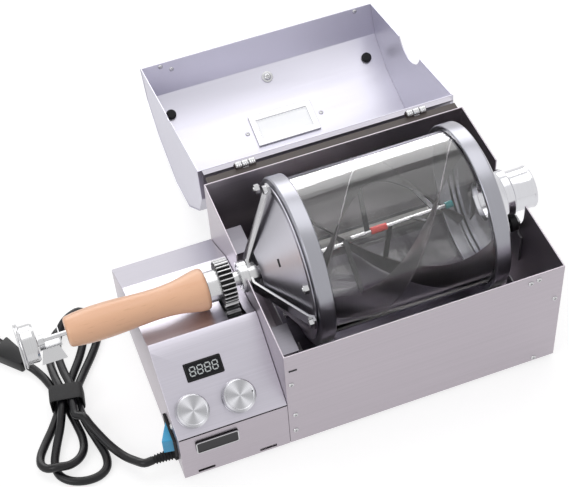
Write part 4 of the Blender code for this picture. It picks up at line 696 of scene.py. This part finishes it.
def make_thermometer():
    """The dial thermometer: a crimped double rim, a printed face with ticks and a needle, glass and stem."""
    body = "thermometer"
    profile = [(-0.2416, 0.0), (-0.2416, 0.0042), (-0.2475, 0.0042), (-0.2475, 0.0148), (-0.2496, 0.0160),
               (-0.2584, 0.0160), (-0.2586, 0.0172), (-0.2589, 0.0182), (-0.2594, 0.0186), (-0.2600, 0.0183),
               (-0.2604, 0.0178), (-0.2608, 0.0183), (-0.2614, 0.0186), (-0.2620, 0.0180), (-0.2620, 0.0168),
               (-0.2610, 0.0158), (-0.2590, 0.0158), (-0.2590, 0.0)]
    turned("thermometer_body", profile, bright_steel, body, ["thermometer_case"], steps=96, edge=0.0004)
    turned("thermometer_lens", [(-0.2613, 0.0), (-0.2613, 0.0155), (-0.2603, 0.0155), (-0.2603, 0.0)],
           window_glass_finish, body, ["thermometer_glass"], steps=64, edge=0.0002)
    turned("thermometer_face", [(-0.2596, 0.0), (-0.2596, 0.0154), (-0.2591, 0.0154), (-0.2591, 0.0)],
           dial_face, body, steps=64, edge=0.0001)
    shapes = dial_marks(51, 0.0122, 0.0136, 0.00022) + dial_marks(11, 0.0108, 0.0136, 0.00042)
    points, faces = join_shapes(shapes)
    add_piece("thermometer_ticks", points, faces, dial_mark, body)
    needle = box_shape((dial_plane - 0.0005, -0.0004, -0.0035), (dial_plane - 0.0002, 0.0004, 0.0112))
    turn = Matrix.Rotation(math.radians(-108.0), 4, "X")
    hub = hex_nut(aim((dial_plane, 0, axis_height), (-1, 0, 0)), 0.0011, 0.0005)
    points, faces = join_shapes([(moved(needle[0], drum_axis @ turn), needle[1]), hub])
    add_piece("thermometer_needle", points, faces, red_plastic, body)
    for step, words in enumerate(("0", "100", "200", "300", "400", "500")):
        turn = math.radians(-135.0 + 270.0 * step / 5)
        place = Matrix.Translation((dial_plane - 0.00012, -digit_radius * math.sin(turn),
                                    axis_height + digit_radius * math.cos(turn)))
        text_piece(f"thermometer_digits_{step}", words, 0.0028, place @ facing_left, dial_mark, body)
    turned("thermometer_stem_rod", [(-0.2472, 0.0), (-0.2472, 0.0020), (0.0188, 0.0020), (0.0198, 0.0)],
           bright_steel, body, ["thermometer_stem"], steps=24, edge=0.0003)
    softened("thermometer_clip", bright_steel, 0.00015)


dial_plane = -0.2597
digit_radius = 0.0088
facing_left = Matrix.Rotation(math.pi, 4, "Z")

# Control panel parts


def make_knobs():
    """The two spun knobs: a fine skirt, a sloping side, a bright edge and a slightly dished top."""
    for name, x in (("speed_knob", -0.1482), ("heat_knob", -0.1094)):
        profile = [(0.0006, 0.0), (0.0006, 0.0124), (0.0010, 0.0138), (0.0022, 0.0138), (0.0026, 0.0133),
                   (0.0112, 0.01305), (0.0120, 0.0122), (0.0120, 0.0112), (0.0117, 0.0108), (0.0117, 0.0)]
        turned(f"{name}_spun", profile, knob_metal, name, [name], place=panel_place(x, 0.0191), steps=96,
               edge=0.0003)
    for node in ("speed_potentiometer", "heat_potentiometer"):
        softened(node, dark_steel, 0.0002)
    dot = [(0.0, 0.0), (0.0, 0.0007), (0.00025, 0.0006), (0.0003, 0.0)]
    points, faces, _ = revolved(rounded(dot, 0.0001), 24)
    points = moved(points, panel_place(-0.1094 + 0.0104, 0.0191 + 0.0002, 0.0116))
    add_piece("knob_dot", points, faces, dial_mark, "heat_knob")


def segment_shape(middle, half_long, half_wide, upright):
    """One lamp of a digit: a bar with pointed ends, as a prism of six sides."""
    flat = half_long - half_wide
    bar = np.array([[-half_long, 0], [-flat, half_wide], [flat, half_wide], [half_long, 0],
                    [flat, -half_wide], [-flat, -half_wide]])
    if upright:
        bar = bar[:, ::-1]
    bar = bar + middle
    low = np.column_stack([np.full(6, 0.0), bar])
    high = np.column_stack([np.full(6, 0.00012), bar])
    sides = [(k, (k + 1) % 6, 6 + (k + 1) % 6, 6 + k) for k in range(6)]
    return np.vstack([low, high]), sides + [tuple(range(5, -1, -1)), tuple(range(6, 12))]


def make_display():
    """The display: a smoked window in its frame, and four digits of seven lit bars."""
    x, slope_run = -0.1288, 0.0487
    softened("display_module", black_plastic, 0.0003)
    place = panel_place(x, slope_run, 0.00045)
    rim = rounded_frame(0.0300, 0.0140, 0.0011, 0.0012, 0.0008)
    add_piece("display_rim", moved(rim[0], place), rim[1], black_plastic, "housing")
    pane = box_shape((0.0, -0.0060, -0.0140), (0.0003, 0.0060, 0.0140))
    add_piece("display_window", moved(pane[0], place), pane[1], display_window, "housing")
    shapes = []
    half_high, half_across, bar, lean = 0.0035, 0.0021, 0.00045, 0.10
    for digit in range(4):
        middle = (digit - 1.5) * 0.0063
        for up, across in ((1, 0), (0, 0), (-1, 0), (0.5, 1), (0.5, -1), (-0.5, 1), (-0.5, -1)):
            upright = across != 0
            centre = np.array([up * half_high, middle + across * half_across + lean * up * half_high])
            long = half_high / 2 if upright else half_across
            points, faces = segment_shape(centre * (1, -1), 0.88 * long, bar, not upright)
            shapes.append((points, faces))
    points, faces = join_shapes(shapes)
    add_piece("display_digits", moved(points, panel_place(x, slope_run, 0.00078)), faces, lit_segment,
              "housing")


def rounded_frame(length, width, border, height, corner):
    """A flat rectangular frame: an outer and an inner rounded outline, swept over four heights and closed."""
    outer = rounded_rectangle(length, width, corner)
    inner = rounded_rectangle(length - 2 * border, width - 2 * border, max(corner - border, 0.0003))
    soft = 0.2 * height
    middle = 0.5 * (outer + inner)
    rails = [(0.0, outer), (height - soft, outer), (height, outer + (middle - outer) * 0.3),
             (height, inner + (middle - inner) * 0.3), (height - soft, inner), (0.0, inner), (0.0, outer)]
    rows = [np.column_stack([np.full(len(line), up), line[:, 1], line[:, 0]]) for up, line in rails]
    rows = [np.vstack([row, row[:1]]) for row in rows]
    return np.concatenate(rows), grid_faces(len(rows), len(rows[0]))


def rounded_rectangle(length, width, corner, steps=6):
    """A rectangle's outline whose corners are quarter circles."""
    angle = np.linspace(0, np.pi / 2, steps)
    made = []
    for turn, (side, up) in enumerate(((1, 1), (-1, 1), (-1, -1), (1, -1))):
        around = angle + turn * np.pi / 2
        made.append(np.stack([side * (length / 2 - corner) + corner * np.cos(around),
                              up * (width / 2 - corner) + corner * np.sin(around)], axis=1))
    return np.vstack(made)


def make_badge():
    """The bare front plate: a raised rim round a plain field."""
    softened("badge_plate", bare_plate, 0.0003)
    place = aim((-0.1348, -0.1000, 0.03845), (0.0, -1.0, 0.0))
    rim = rounded_frame(0.0360, 0.0145, 0.0009, 0.0005, 0.0022)
    flat = np.column_stack([rim[0][:, 0], rim[0][:, 2], rim[0][:, 1]])
    add_piece("badge_rim", moved(flat, place), rim[1], bright_steel, "housing")


def make_rocker():
    """The rocker switch: its black well and its light blue paddle, both with rounded edges."""
    softened("rocker_housing", black_plastic, 0.0004)
    softened("rocker_paddle", blue_plastic, 0.0009, segments=3)


# Box

def make_box():
    """The chamber, the control case with its cover, and the sheet pieces inside them."""
    for finish, edge, nodes in box_finishes:
        for node in nodes.split():
            softened(node, finish, edge)


box_finishes = [
    (body_sheet, 0.00035, "chamber_box control_case"),
    (panel_sheet, 0.00040, "control_cover"),
    (shaded_inner_sheet, 0.0002, "shelf_bracket lid_hinge_strip"),
    (tray_painted_shade, 0.0002, "reflector_tray"),
    (zinc, 0.0002, "heater_holder_left heater_holder_right roller_bracket motor_bracket"),
    (board_green, 0.0001, "control_board"),
    (dark_steel, 0.0003, "drum_motor"),
    (hinge_painted_shade, 0.0002, "hinge_strip"),
    (tube_quartz, 0.0003, "heater_tube_front heater_tube_rear"),
    (soft_rubber, 0.0003, "outlet_roller_front outlet_roller_rear"),
]
screw_radius = 0.0024
screw_height = 0.0011


def make_screws():
    """Pan-head screws on the chamber's front and side walls and on the case."""
    shapes = []
    for x, z in ((-0.0694, 0.0801), (-0.0680, 0.0375), (-0.0687, 0.0157), (0.1434, 0.1105), (0.1364, 0.1090),
                 (0.1600, 0.0790), (0.1468, 0.0040)):
        shapes.append(pan_screw(aim((x, front, z), (0.0, -1.0, 0.0)), screw_radius, screw_height))
    for y, z in ((0.0387, 0.0600), (-0.0786, 0.0480)):
        shapes.append(pan_screw(aim((body_left, y, z), (-1.0, 0.0, 0.0)), screw_radius, screw_height))
    points, faces = join_shapes(shapes)
    add_piece("wall_screws", points, faces, bright_steel, "housing")
    # A thin dark box on the front wall: painted shade that stands for a slot in it.
    slot = box_shape((-0.0003, -0.0034, -0.0008), (0.0003, 0.0034, 0.0008))
    place = aim((-0.0673, front, 0.0980), (0.0, -1.0, 0.0))
    add_piece("wall_slot_painted_shade", moved(slot[0], place), slot[1], dark_steel, "housing")


def make_vanes():
    """Three twisted vanes: at a share t of the length the blade points along an angle that falls by the
    twist, and its rounded section stands off the blade along the cross product of its two directions."""
    inner, outer, wall = 0.042, 0.0632, 0.0012
    twist = math.radians(vane_twist_degrees)
    section = rounded_rectangle(outer - inner, wall, 0.00055, 5)
    section = np.vstack([section, section[:1]])
    t = np.linspace(0, 1, 97)
    for count in range(3):
        turn = math.radians(vane_first_degrees + 120.0 * count) - twist * t
        out = np.stack([np.zeros_like(turn), np.sin(turn), -np.cos(turn)], axis=1)
        round_way = np.stack([np.zeros_like(turn), np.cos(turn), np.sin(turn)], axis=1)
        reach = (inner + outer) / 2 + section[:, 0]
        lean = -twist * reach / vane_length
        away = np.stack([-lean, np.ones_like(lean)], axis=1) / np.sqrt(1 + lean ** 2)[:, None]
        along = vane_start + vane_length * t[:, None] + away[None, :, 0] * section[None, :, 1]
        side = away[None, :, 1] * section[None, :, 1]
        points = reach[None, :, None] * out[:, None] + side[:, :, None] * round_way[:, None]
        points[:, :, 0] = along
        closed_ends = np.concatenate([points[:1].mean(axis=1, keepdims=True).repeat(len(section), 1), points,
                                      points[-1:].mean(axis=1, keepdims=True).repeat(len(section), 1)])
        add_piece(f"stir_vane_{count + 1}_twisted", moved(closed_ends.reshape(-1, 3), drum_axis),
                  grid_faces(len(closed_ends), len(section)), vane_sheet, "drum", [f"stir_vane_{count + 1}"])


def make_feet():
    """Four moulded rubber feet: a flared skirt with a rounded tread and a dimple."""
    for side_x, across in (("left", -0.150), ("right", 0.150)):
        for side_y, deep in (("front", -0.0825), ("rear", 0.0825)):
            profile = [(0.0003, 0.0), (0.0003, 0.0090), (0.0012, 0.0090), (foot_height, 0.0078),
                       (foot_height, 0.0042), (foot_height - 0.0012, 0.0034), (foot_height - 0.0012, 0.0)]
            node = f"foot_{side_y}_{side_x}"
            turned(f"{node}_moulded", profile, soft_rubber, "housing", [node],
                   place=aim((across, deep, 0.0), (0.0, 0.0, -1.0)), steps=48, edge=0.0006)


# Lid

def make_lid():
    """The lid: its folded shell, the two end plates, the window with its frame, the knob outside, and the
    small pieces on its folds and hinges."""
    softened("lid_shell", lid_sheet_finish, 0.0004, segments=3)
    softened("lid_end_left", lid_sheet_finish, 0.0003)
    softened("lid_end_right", lid_sheet_finish, 0.0003)
    softened("window_frame", bright_steel, 0.0004)
    softened("window_glass", window_glass_finish, 0.0002)
    softened("lid_knob", black_plastic, 0.0006, segments=3)
    make_lid_details()
    make_knuckles()


far_fold = (0.0, -0.937, 0.349)
stop_fold = (0.0, -0.5815, 0.8136)
window_fold = (0.0, -0.2655, 0.964)


def make_lid_details():
    """On the lid's inner folds: two rubber stops, the knob's screw on its washer, and the small screws."""
    for name, x in (("left", -0.0564), ("right", 0.1482)):
        profile = [(-0.0004, 0.0), (-0.0004, 0.0050), (0.0022, 0.0050), (0.0040, 0.0036), (0.0040, 0.0)]
        stop = turned(f"lid_stop_{name}", profile, soft_rubber, "lid", steps=40, edge=0.0007,
                      place=aim((x, 0.2809, 0.0274), stop_fold))
    ring = turned("knob_screw_washer", [(-0.0003, 0.0), (-0.0003, 0.0056), (0.0012, 0.0056), (0.0012, 0.0)],
                  bright_steel, "lid", steps=40, edge=0.0004, place=aim((0.0462, 0.2886, 0.0329), stop_fold))
    shapes = [pan_screw(aim((0.0462, 0.2879, 0.0339), stop_fold), 0.0036, 0.0018)]
    for x, y, z in ((-0.0543, 0.3082, 0.0664), (-0.0441, 0.3064, 0.0615), (0.1472, 0.3082, 0.0664)):
        shapes.append(pan_screw(aim((x, y, z), far_fold), 0.0022, 0.0012))
    for x in (0.0080, 0.0844):
        shapes.append(pan_screw(aim((x, 0.2423, 0.0109), window_fold), 0.0022, 0.0012))
    points, faces = join_shapes(shapes)
    add_piece("lid_screws", points, faces, bright_steel, "lid")


hinge_middle = 0.046
hinge_spacing = 0.0795
knuckle_third = 0.00613
sleeve_gap = 0.0004
sleeve_bore = 0.0029
sleeve_radius = 0.0033
sleeve_wave = 0.00018


def make_knuckles():
    """Bright sleeves with turned rings over the hinge knuckles: radius plus a small wave along the sleeve."""
    for side, side_name in ((-1, "left"), (1, "right")):
        middle = hinge_middle + side * hinge_spacing
        for step in (-1, 0, 1):
            low = middle + (step - 0.5) * knuckle_third + sleeve_gap
            long = knuckle_third - 2 * sleeve_gap
            t = np.linspace(0, 1, 25)
            outer = np.stack([low + long * t, sleeve_radius + sleeve_wave * np.cos(6 * np.pi * t)], axis=1)
            profile = np.vstack([[(low, sleeve_bore)], outer, [(low + long, sleeve_bore)]])
            place = Matrix.Translation((0.0, hinge_y, hinge_z))
            piece = turned(f"hinge_sleeve_{side_name}_{step + 2}", profile, bright_steel,
                           "lid" if step == 0 else "housing", place=place, steps=40, edge=0.0001)


# Cord

relief_y = -0.080
relief_z = 0.0125
relief_length = 0.020
relief_radius = 0.005
relief_tip_radius = 0.0038
relief_shank_radius = 0.0036
cord_diameter = 0.0072
strand_gap = 0.0017
floor_gap = 0.0001
slot_step = 0.0090
hank_from_left = 0.0700
hank_back = 0.0120
hank_turn_degrees = -10.0
tie_length = 0.0160
tie_sheet = 0.0010
tie_reach = 0.030
climb_ease = 0.009
climb_slope = 0.55
lobe_points = 13
short_loop = {"length": 0.0610, "half": 0.0148, "lean": -8.0, "round_share": 0.3}
long_loop = {"length": 0.0730, "half": 0.0165, "lean": 4.5, "round_share": 0.7}
upper_loop = {"length": 0.0700, "half": 0.0130, "lean": 9.0, "round_share": 0.2}
outer_loop = {"length": 0.0740, "half": 0.0150, "lean": 11.0, "round_share": 0.2}
under_tip_share = 0.72
plug_x = -0.2600
plug_y = 0.0620
plug_height = 0.013
tail_route = [(-0.2530, 0.0515), (-0.2480, 0.0400)]
lead_route = [(-0.2283, -0.0175, 0.0046), (-0.2250, -0.0265, 0.0012), (-0.2209, -0.0364, -0.0009),
              (-0.2162, -0.0464, -0.0011), (-0.2109, -0.0560, -0.0002), (-0.2056, -0.0646, 0.0024),
              (-0.1998, -0.0724, 0.0066)]
hank_middle = np.array([body_left - hank_from_left, hank_back])
floor_line = -foot_height + cord_diameter / 2 + floor_gap
plug_middle = -foot_height + plug_height / 2 + floor_gap


def lobe(side, first_slot, last_slot, loop):
    """One loop, in the hank's frame: out of the tie along a slot, round, and back along another."""
    t = np.linspace(0, 1, lobe_points)
    swell = np.sin(2 * np.pi * t) * np.sin(np.pi * t) ** loop["round_share"]
    swell /= swell.max()
    run = loop["length"] * np.sin(np.pi * t)
    slot = first_slot + (last_slot - first_slot) * t * t * (3 - 2 * t)
    lean = math.tan(math.radians(loop["lean"])) * run ** 2 / loop["length"]
    turn = 1 if last_slot > first_slot else -1
    across = slot - turn * loop["half"] * swell + lean
    return np.stack([across, side * (tie_length / 2 + run)], axis=1)


def to_world(points):
    """Points of the hank's frame as world (x, y)."""
    turn = math.radians(hank_turn_degrees)
    rotate = np.array([[math.cos(turn), -math.sin(turn)], [math.sin(turn), math.cos(turn)]])
    return np.asarray(points) @ rotate.T + hank_middle


def along_hank(points):
    """How far points lie along the hank from its tie."""
    turn = math.radians(hank_turn_degrees)
    return (np.asarray(points)[:, :2] - hank_middle) @ np.array([-math.sin(turn), math.cos(turn)])


def smooth_route(points, step):
    """Points along a smooth curve through a route's own points."""
    points = np.asarray(points, float)
    padded = np.vstack([2 * points[0] - points[1], points, 2 * points[-1] - points[-2]])
    made = []
    for a, b, c, d in zip(padded, padded[1:], padded[2:], padded[3:]):
        count = max(1, int(round(np.linalg.norm(c - b) / step)))
        for t in np.arange(count) / count:
            made.append(0.5 * ((2 * b) + (c - a) * t + (2 * a - 5 * b + 4 * c - d) * t ** 2
                               + (3 * b - a - 3 * c + d) * t ** 3))
    made.append(padded[-2])
    return np.array(made)


def fine_points(line, cuts=8):
    """A line's points with more between them."""
    made = [a + (b - a) * step / cuts for a, b in zip(line, line[1:]) for step in range(cuts)]
    return np.array(made + [line[-1]])


def run_lengths(line):
    """The length of a line up to each of its points."""
    return np.concatenate([[0], np.cumsum(np.linalg.norm(np.diff(line, axis=0), axis=1))])


def lay_down(plan, laid, base):
    """Heights of one stretch: on its base, and over every strand that is already laid."""
    cuts = 8
    dense = fine_points(plan, cuts)
    need = fine_points(np.asarray(base)[:, None], cuts)[:, 0]
    reach = cord_diameter + strand_gap
    along = run_lengths(dense)
    if len(laid):
        distance = np.linalg.norm(dense[:, None] - laid[None, :, :2], axis=2)
        over = laid[None, :, 2] + np.sqrt(np.maximum(reach ** 2 - distance ** 2, 0))
        need = np.maximum(need, np.where(distance < reach, over, floor_line).max(axis=1))
    apart = np.abs(along[:, None] - along[None, :])
    height = (need[None, :] - climb_slope * apart).max(axis=1)
    weight = np.exp(-(apart / climb_ease) ** 2)
    weight /= weight.sum(axis=1, keepdims=True)
    for _ in range(6):
        height = np.maximum(weight @ height, need)
    return height[::cuts]


def base_heights(points):
    """The lowest line that a strand can take: on the floor, and on the tie's strap near the waist."""
    distance = np.linalg.norm(points - hank_middle, axis=1)
    near = np.clip((tie_reach - distance) / (tie_reach - tie_length), 0, 1)
    return floor_line + (tie_sheet + 2 * gap) * near * near * (3 - 2 * near)


def hank_plan():
    """The hank from the plug to the lead's start, as five stretches in world (x, y)."""
    slot, tie, half = slot_step, tie_length / 2, lobe_points // 2
    short = to_world(lobe(-1, -slot, 0, short_loop))
    upper = to_world(lobe(1, 0, -slot / 2, upper_loop))
    long = to_world(lobe(-1, -slot / 2, slot, long_loop))
    outer = to_world(lobe(1, slot, slot / 2, outer_loop))
    plug = np.array([plug_x, plug_y])
    first = plug + (np.array(tail_route[0]) - plug) * cord_diameter / np.linalg.norm(tail_route[0] - plug)
    tail = smooth_route(np.vstack([plug, first, tail_route, to_world([(-slot, tie)])]), 2 * cord_diameter)
    last = to_world([(slot / 2, -tie), (slot / 2 + cord_diameter / 8, -tie - cord_diameter)])
    return [np.vstack([tail, short[:half + 1]]), np.vstack([short[half:], upper[:half + 1]]),
            np.vstack([upper[half:], long[:half + 1]]), np.vstack([long[half:], outer[:half + 1]]),
            np.vstack([outer[half:], last])]


def thinned(points, least):
    """Points of a line without those that lie too near the one before."""
    kept = [points[0]]
    for point in points[1:]:
        if np.linalg.norm(point - kept[-1]) > least:
            kept.append(point)
    return np.array(kept)


def lay_hank():
    """The hank's centre line. The long loop passes under the tip of the short one."""
    laid = np.zeros((0, 3))
    strands = []
    plans = [thinned(plan, cord_diameter / 5) for plan in hank_plan()]
    tip = -under_tip_share * short_loop["length"]
    for place, plan in enumerate(plans):
        below = laid[along_hank(laid) > tip] if place in (2, 3) else laid
        base = base_heights(plan)
        base[0] = strands[-1][-1, 2] if strands else plug_middle
        height = lay_down(plan, below, base)
        if strands:
            strands[-1][-1, 2] = height[0]
        strands.append(np.column_stack([plan, height]))
        laid = np.vstack([fine_points(strand) for strand in strands])
    long_laid = np.vstack([fine_points(strands[2]), fine_points(strands[3])])
    long_laid = long_laid[along_hank(long_laid) < tip]
    for strand in strands[:2]:
        lifted = lay_down(strand[:, :2], long_laid, strand[:, 2])
        strand[:, 2] = np.maximum(strand[:, 2], lifted)
    strands[1][0, 2] = strands[0][-1, 2] = max(strands[1][0, 2], strands[0][-1, 2])
    line = np.vstack([strands[0]] + [strand[1:] for strand in strands[1:]])
    line[1, 2] = line[0, 2]
    return line


def lay_lead(hank):
    """The free stretch from the hank to the strain relief, over the hank's own strands."""
    start = np.array([body_left - gap - relief_length - gap, relief_y, relief_z])
    out = hank[-1] - hank[-2]
    out /= np.linalg.norm(out)
    first = hank[-1] + out * gap
    route = [first, first + out * cord_diameter] + lead_route + [start - [cord_diameter, 0, 0], start]
    line = smooth_route(route, 2 * cord_diameter)
    middle = slice(2, -2)
    run = run_lengths(hank)
    over = lay_down(line[:, :2], fine_points(hank[run < run[-1] - 4 * cord_diameter]), line[:, 2])
    line[middle, 2] = np.maximum(line[middle, 2], over[middle])
    return line


def make_relief():
    """The tapered strain relief: a flange, then ribs on a cone that narrows towards the cord."""
    start = body_left - gap
    ribs = 7
    t = np.linspace(0, 1, 12 * ribs + 1)
    radius = relief_radius + (relief_tip_radius - relief_radius) * t
    wave = 0.00045 * np.tanh(4 * np.cos(2 * np.pi * ribs * t))
    radius = radius - 0.0004 + np.where(t > 0.97, 0.0, wave)
    along = start - 2 * sheet - (relief_length - 2 * sheet) * t
    cone = np.stack([along, radius], axis=1)
    profile = np.vstack([[(body_left + 4 * sheet, 0.0), (body_left + 4 * sheet, relief_shank_radius),
                          (start, relief_shank_radius), (start, relief_radius + 0.0012),
                          (start - 2 * sheet, relief_radius + 0.0012)], cone, [(along[-1], 0.0)]])
    turned("strain_relief_ribbed", profile, soft_rubber, "housing", ["strain_relief"],
           place=Matrix.Translation((0.0, relief_y, relief_z)), steps=48, edge=0.00012)


def cord_surface(line, radius, steps=20):
    """A round tube along a line: each point plus radius times (side cos a + top sin a), drawn in at both
    ends. The side is level, across the line's own direction."""
    direction = np.gradient(line, axis=0)
    direction /= np.linalg.norm(direction, axis=1, keepdims=True)
    side = np.cross([0.0, 0.0, 1.0], direction)
    side /= np.linalg.norm(side, axis=1, keepdims=True)
    top = np.cross(direction, side)
    angle = np.linspace(0, 2 * np.pi, steps + 1)[None, :, None]
    ring = line[:, None] + radius * (np.cos(angle) * side[:, None] + np.sin(angle) * top[:, None])
    first = np.repeat(line[None, :1], steps + 1, axis=1)
    last = np.repeat(line[None, -1:], steps + 1, axis=1)
    rows = np.concatenate([first.reshape(1, -1, 3), ring, last.reshape(1, -1, 3)])
    return rows.reshape(-1, 3), grid_faces(len(rows), steps + 1)


def strap_surface(hank):
    """The wide tie round the waist: a rounded rectangle's outline round the strands, carried along the hank
    on its outside and back on its inside, with its outer edges drawn in a little."""
    tie_half = tie_length / 2
    inside = hank[np.abs(along_hank(hank)) <= tie_length]
    low = -foot_height + floor_gap
    half = slot_step + cord_diameter / 2 + strand_gap / 2
    top = inside[:, 2].max() + cord_diameter / 2 + gap
    middle = (top + low + tie_sheet) / 2
    outline = rounded_rectangle(2 * half, top - low - tie_sheet, cord_diameter / 2, 9)
    reach = np.linspace(0, 1, 9)
    along = np.concatenate([-tie_half + tie_length * reach, tie_half - tie_length * reach, [-tie_half]])
    lift = np.concatenate([np.full(9, tie_sheet), np.zeros(9), [tie_sheet]])
    lift[[0, 8, 18]] *= 0.7
    grow = np.array([half, (top - low - tie_sheet) / 2])
    rows = []
    for place, out in zip(along, lift):
        scale = (grow + out) / grow
        ring = outline * scale
        rows.append(np.column_stack([ring[:, 0], np.full(len(ring), place), ring[:, 1] + middle]))
    rows = [np.vstack([row, row[:1]]) for row in rows]
    points = np.concatenate(rows)
    turn = Matrix.Rotation(math.radians(hank_turn_degrees), 4, "Z")
    return moved(points, Matrix.Translation((*hank_middle, 0.0)) @ turn), grid_faces(len(rows), len(rows[0]))


def make_cord():
    """The mains cord: one line from the strain relief's tip through the tied hank to the plug."""
    hank = lay_hank()
    lead = lay_lead(hank)
    rough = np.vstack([hank, lead[1:]])[::-1]
    line = smooth_route(thinned(rough, cord_diameter / 4), cord_diameter / 3)
    line[:, 2] = np.maximum(line[:, 2], -foot_height + cord_diameter / 2 + floor_gap)
    points, faces = cord_surface(line, cord_diameter / 2)
    cord = add_piece("mains_cord", points, faces, cord_jacket, "housing", ["cord_lead", "cord_hank"],
                     sharp_degrees=60.0)
    points, faces = strap_surface(hank)
    tie = add_piece("cord_tie_strap", points, faces, tie_fabric, "housing", ["cord_tie"])
    plug = softened("mains_plug", black_plastic, 0.0010, segments=3)


# Floor and light

def make_floor():
    """A pale floor that the camera sees as white where it is open, and that keeps the object's shadow."""
    bpy.ops.mesh.primitive_plane_add(size=12.0, location=(0.0, 0.0, -foot_height - 0.0001))
    floor = bpy.context.object
    floor.name = "studio_floor"
    made, tree, shader = new_finish("studio_floor", (0.50, 0.50, 0.50), 0.60)
    shader.inputs["Emission Color"].default_value = (1.0, 1.0, 1.0, 1.0)
    shader.inputs["Specular IOR Level"].default_value = 0.0
    glow = arithmetic(tree, "MULTIPLY", seen_directly(tree), floor_glow)
    tree.links.new(glow, shader.inputs["Emission Strength"])
    floor.data.materials.append(made)


def seen_directly(tree):
    """One for a ray that comes from the camera, a reflection or glass, and zero for other rays."""
    path = add_node(tree, "ShaderNodeLightPath").outputs
    first = arithmetic(tree, "MAXIMUM", path["Is Camera Ray"], path["Is Glossy Ray"])
    return arithmetic(tree, "MAXIMUM", first, path["Is Transmission Ray"])


def make_world():
    """A white surround where it is seen, and a plain soft level of light elsewhere."""
    world = bpy.data.worlds.new("studio")
    bpy.context.scene.world = world
    world.use_nodes = True
    tree = world.node_tree
    back = tree.nodes["Background"]
    back.inputs["Color"].default_value = (1.0, 1.0, 1.0, 1.0)
    level = between(tree, seen_directly(tree), world_level, 1.0, 0.0, 1.0)
    tree.links.new(level, back.inputs["Strength"])


def make_lamp(name, place, target, size, power, colour=(1.0, 1.0, 1.0)):
    """A soft rectangular lamp that looks at a target."""
    light = bpy.data.lights.new(name, "AREA")
    light.shape = "RECTANGLE"
    light.size, light.size_y = size
    light.energy = power
    light.color = colour
    lamp = placed_object(name, light)
    lamp.location = place
    lamp.rotation_euler = (Vector(target) - Vector(place)).to_track_quat("-Z", "Y").to_euler()
    return lamp


floor_glow = 0.70
world_level = 0.45

make_camera()
make_cord()
make_relief()
make_rings()
make_glass()
make_cone()
make_outlet()
make_spider()
make_neck()
make_handle()
make_thermometer()
make_knobs()
make_display()
make_badge()
make_rocker()
make_box()
make_vanes()
make_stirring_rod()
make_cone_slot()
make_screws()
make_feet()
make_lid()
make_floor()
make_world()
make_lamp("overhead_softbox", (0.15, 0.45, 1.5), (0.05, 0.1, 0.1), (1.6, 1.1), 6.9)
highlight = make_lamp("rear_highlight_card", (0.15, 1.5, 0.80), (0.05, 0.0, 0.12), (2.2, 0.9), 15.0)
highlight.visible_diffuse = False
make_lamp("left_softbox", (-1.3, -0.5, 1.0), (0.0, 0.0, 0.1), (0.8, 0.8), 5.0, (0.98, 0.98, 1.0))
# This card lights only the drum's glass, for the bright band along its top.
glass_card = make_lamp("glass_highlight_card", (0.05, 0.7, 0.125), (0.05, 0.0, 0.165), (1.5, 0.40), 15.0)
glass_only = bpy.data.collections.new("glass_receivers")
glass_only.objects.link(bpy.data.objects["drum_glass_tube"])
glass_card.light_linking.receiver_collection = glass_only
bpy.context.scene.view_settings.view_transform = "Standard"
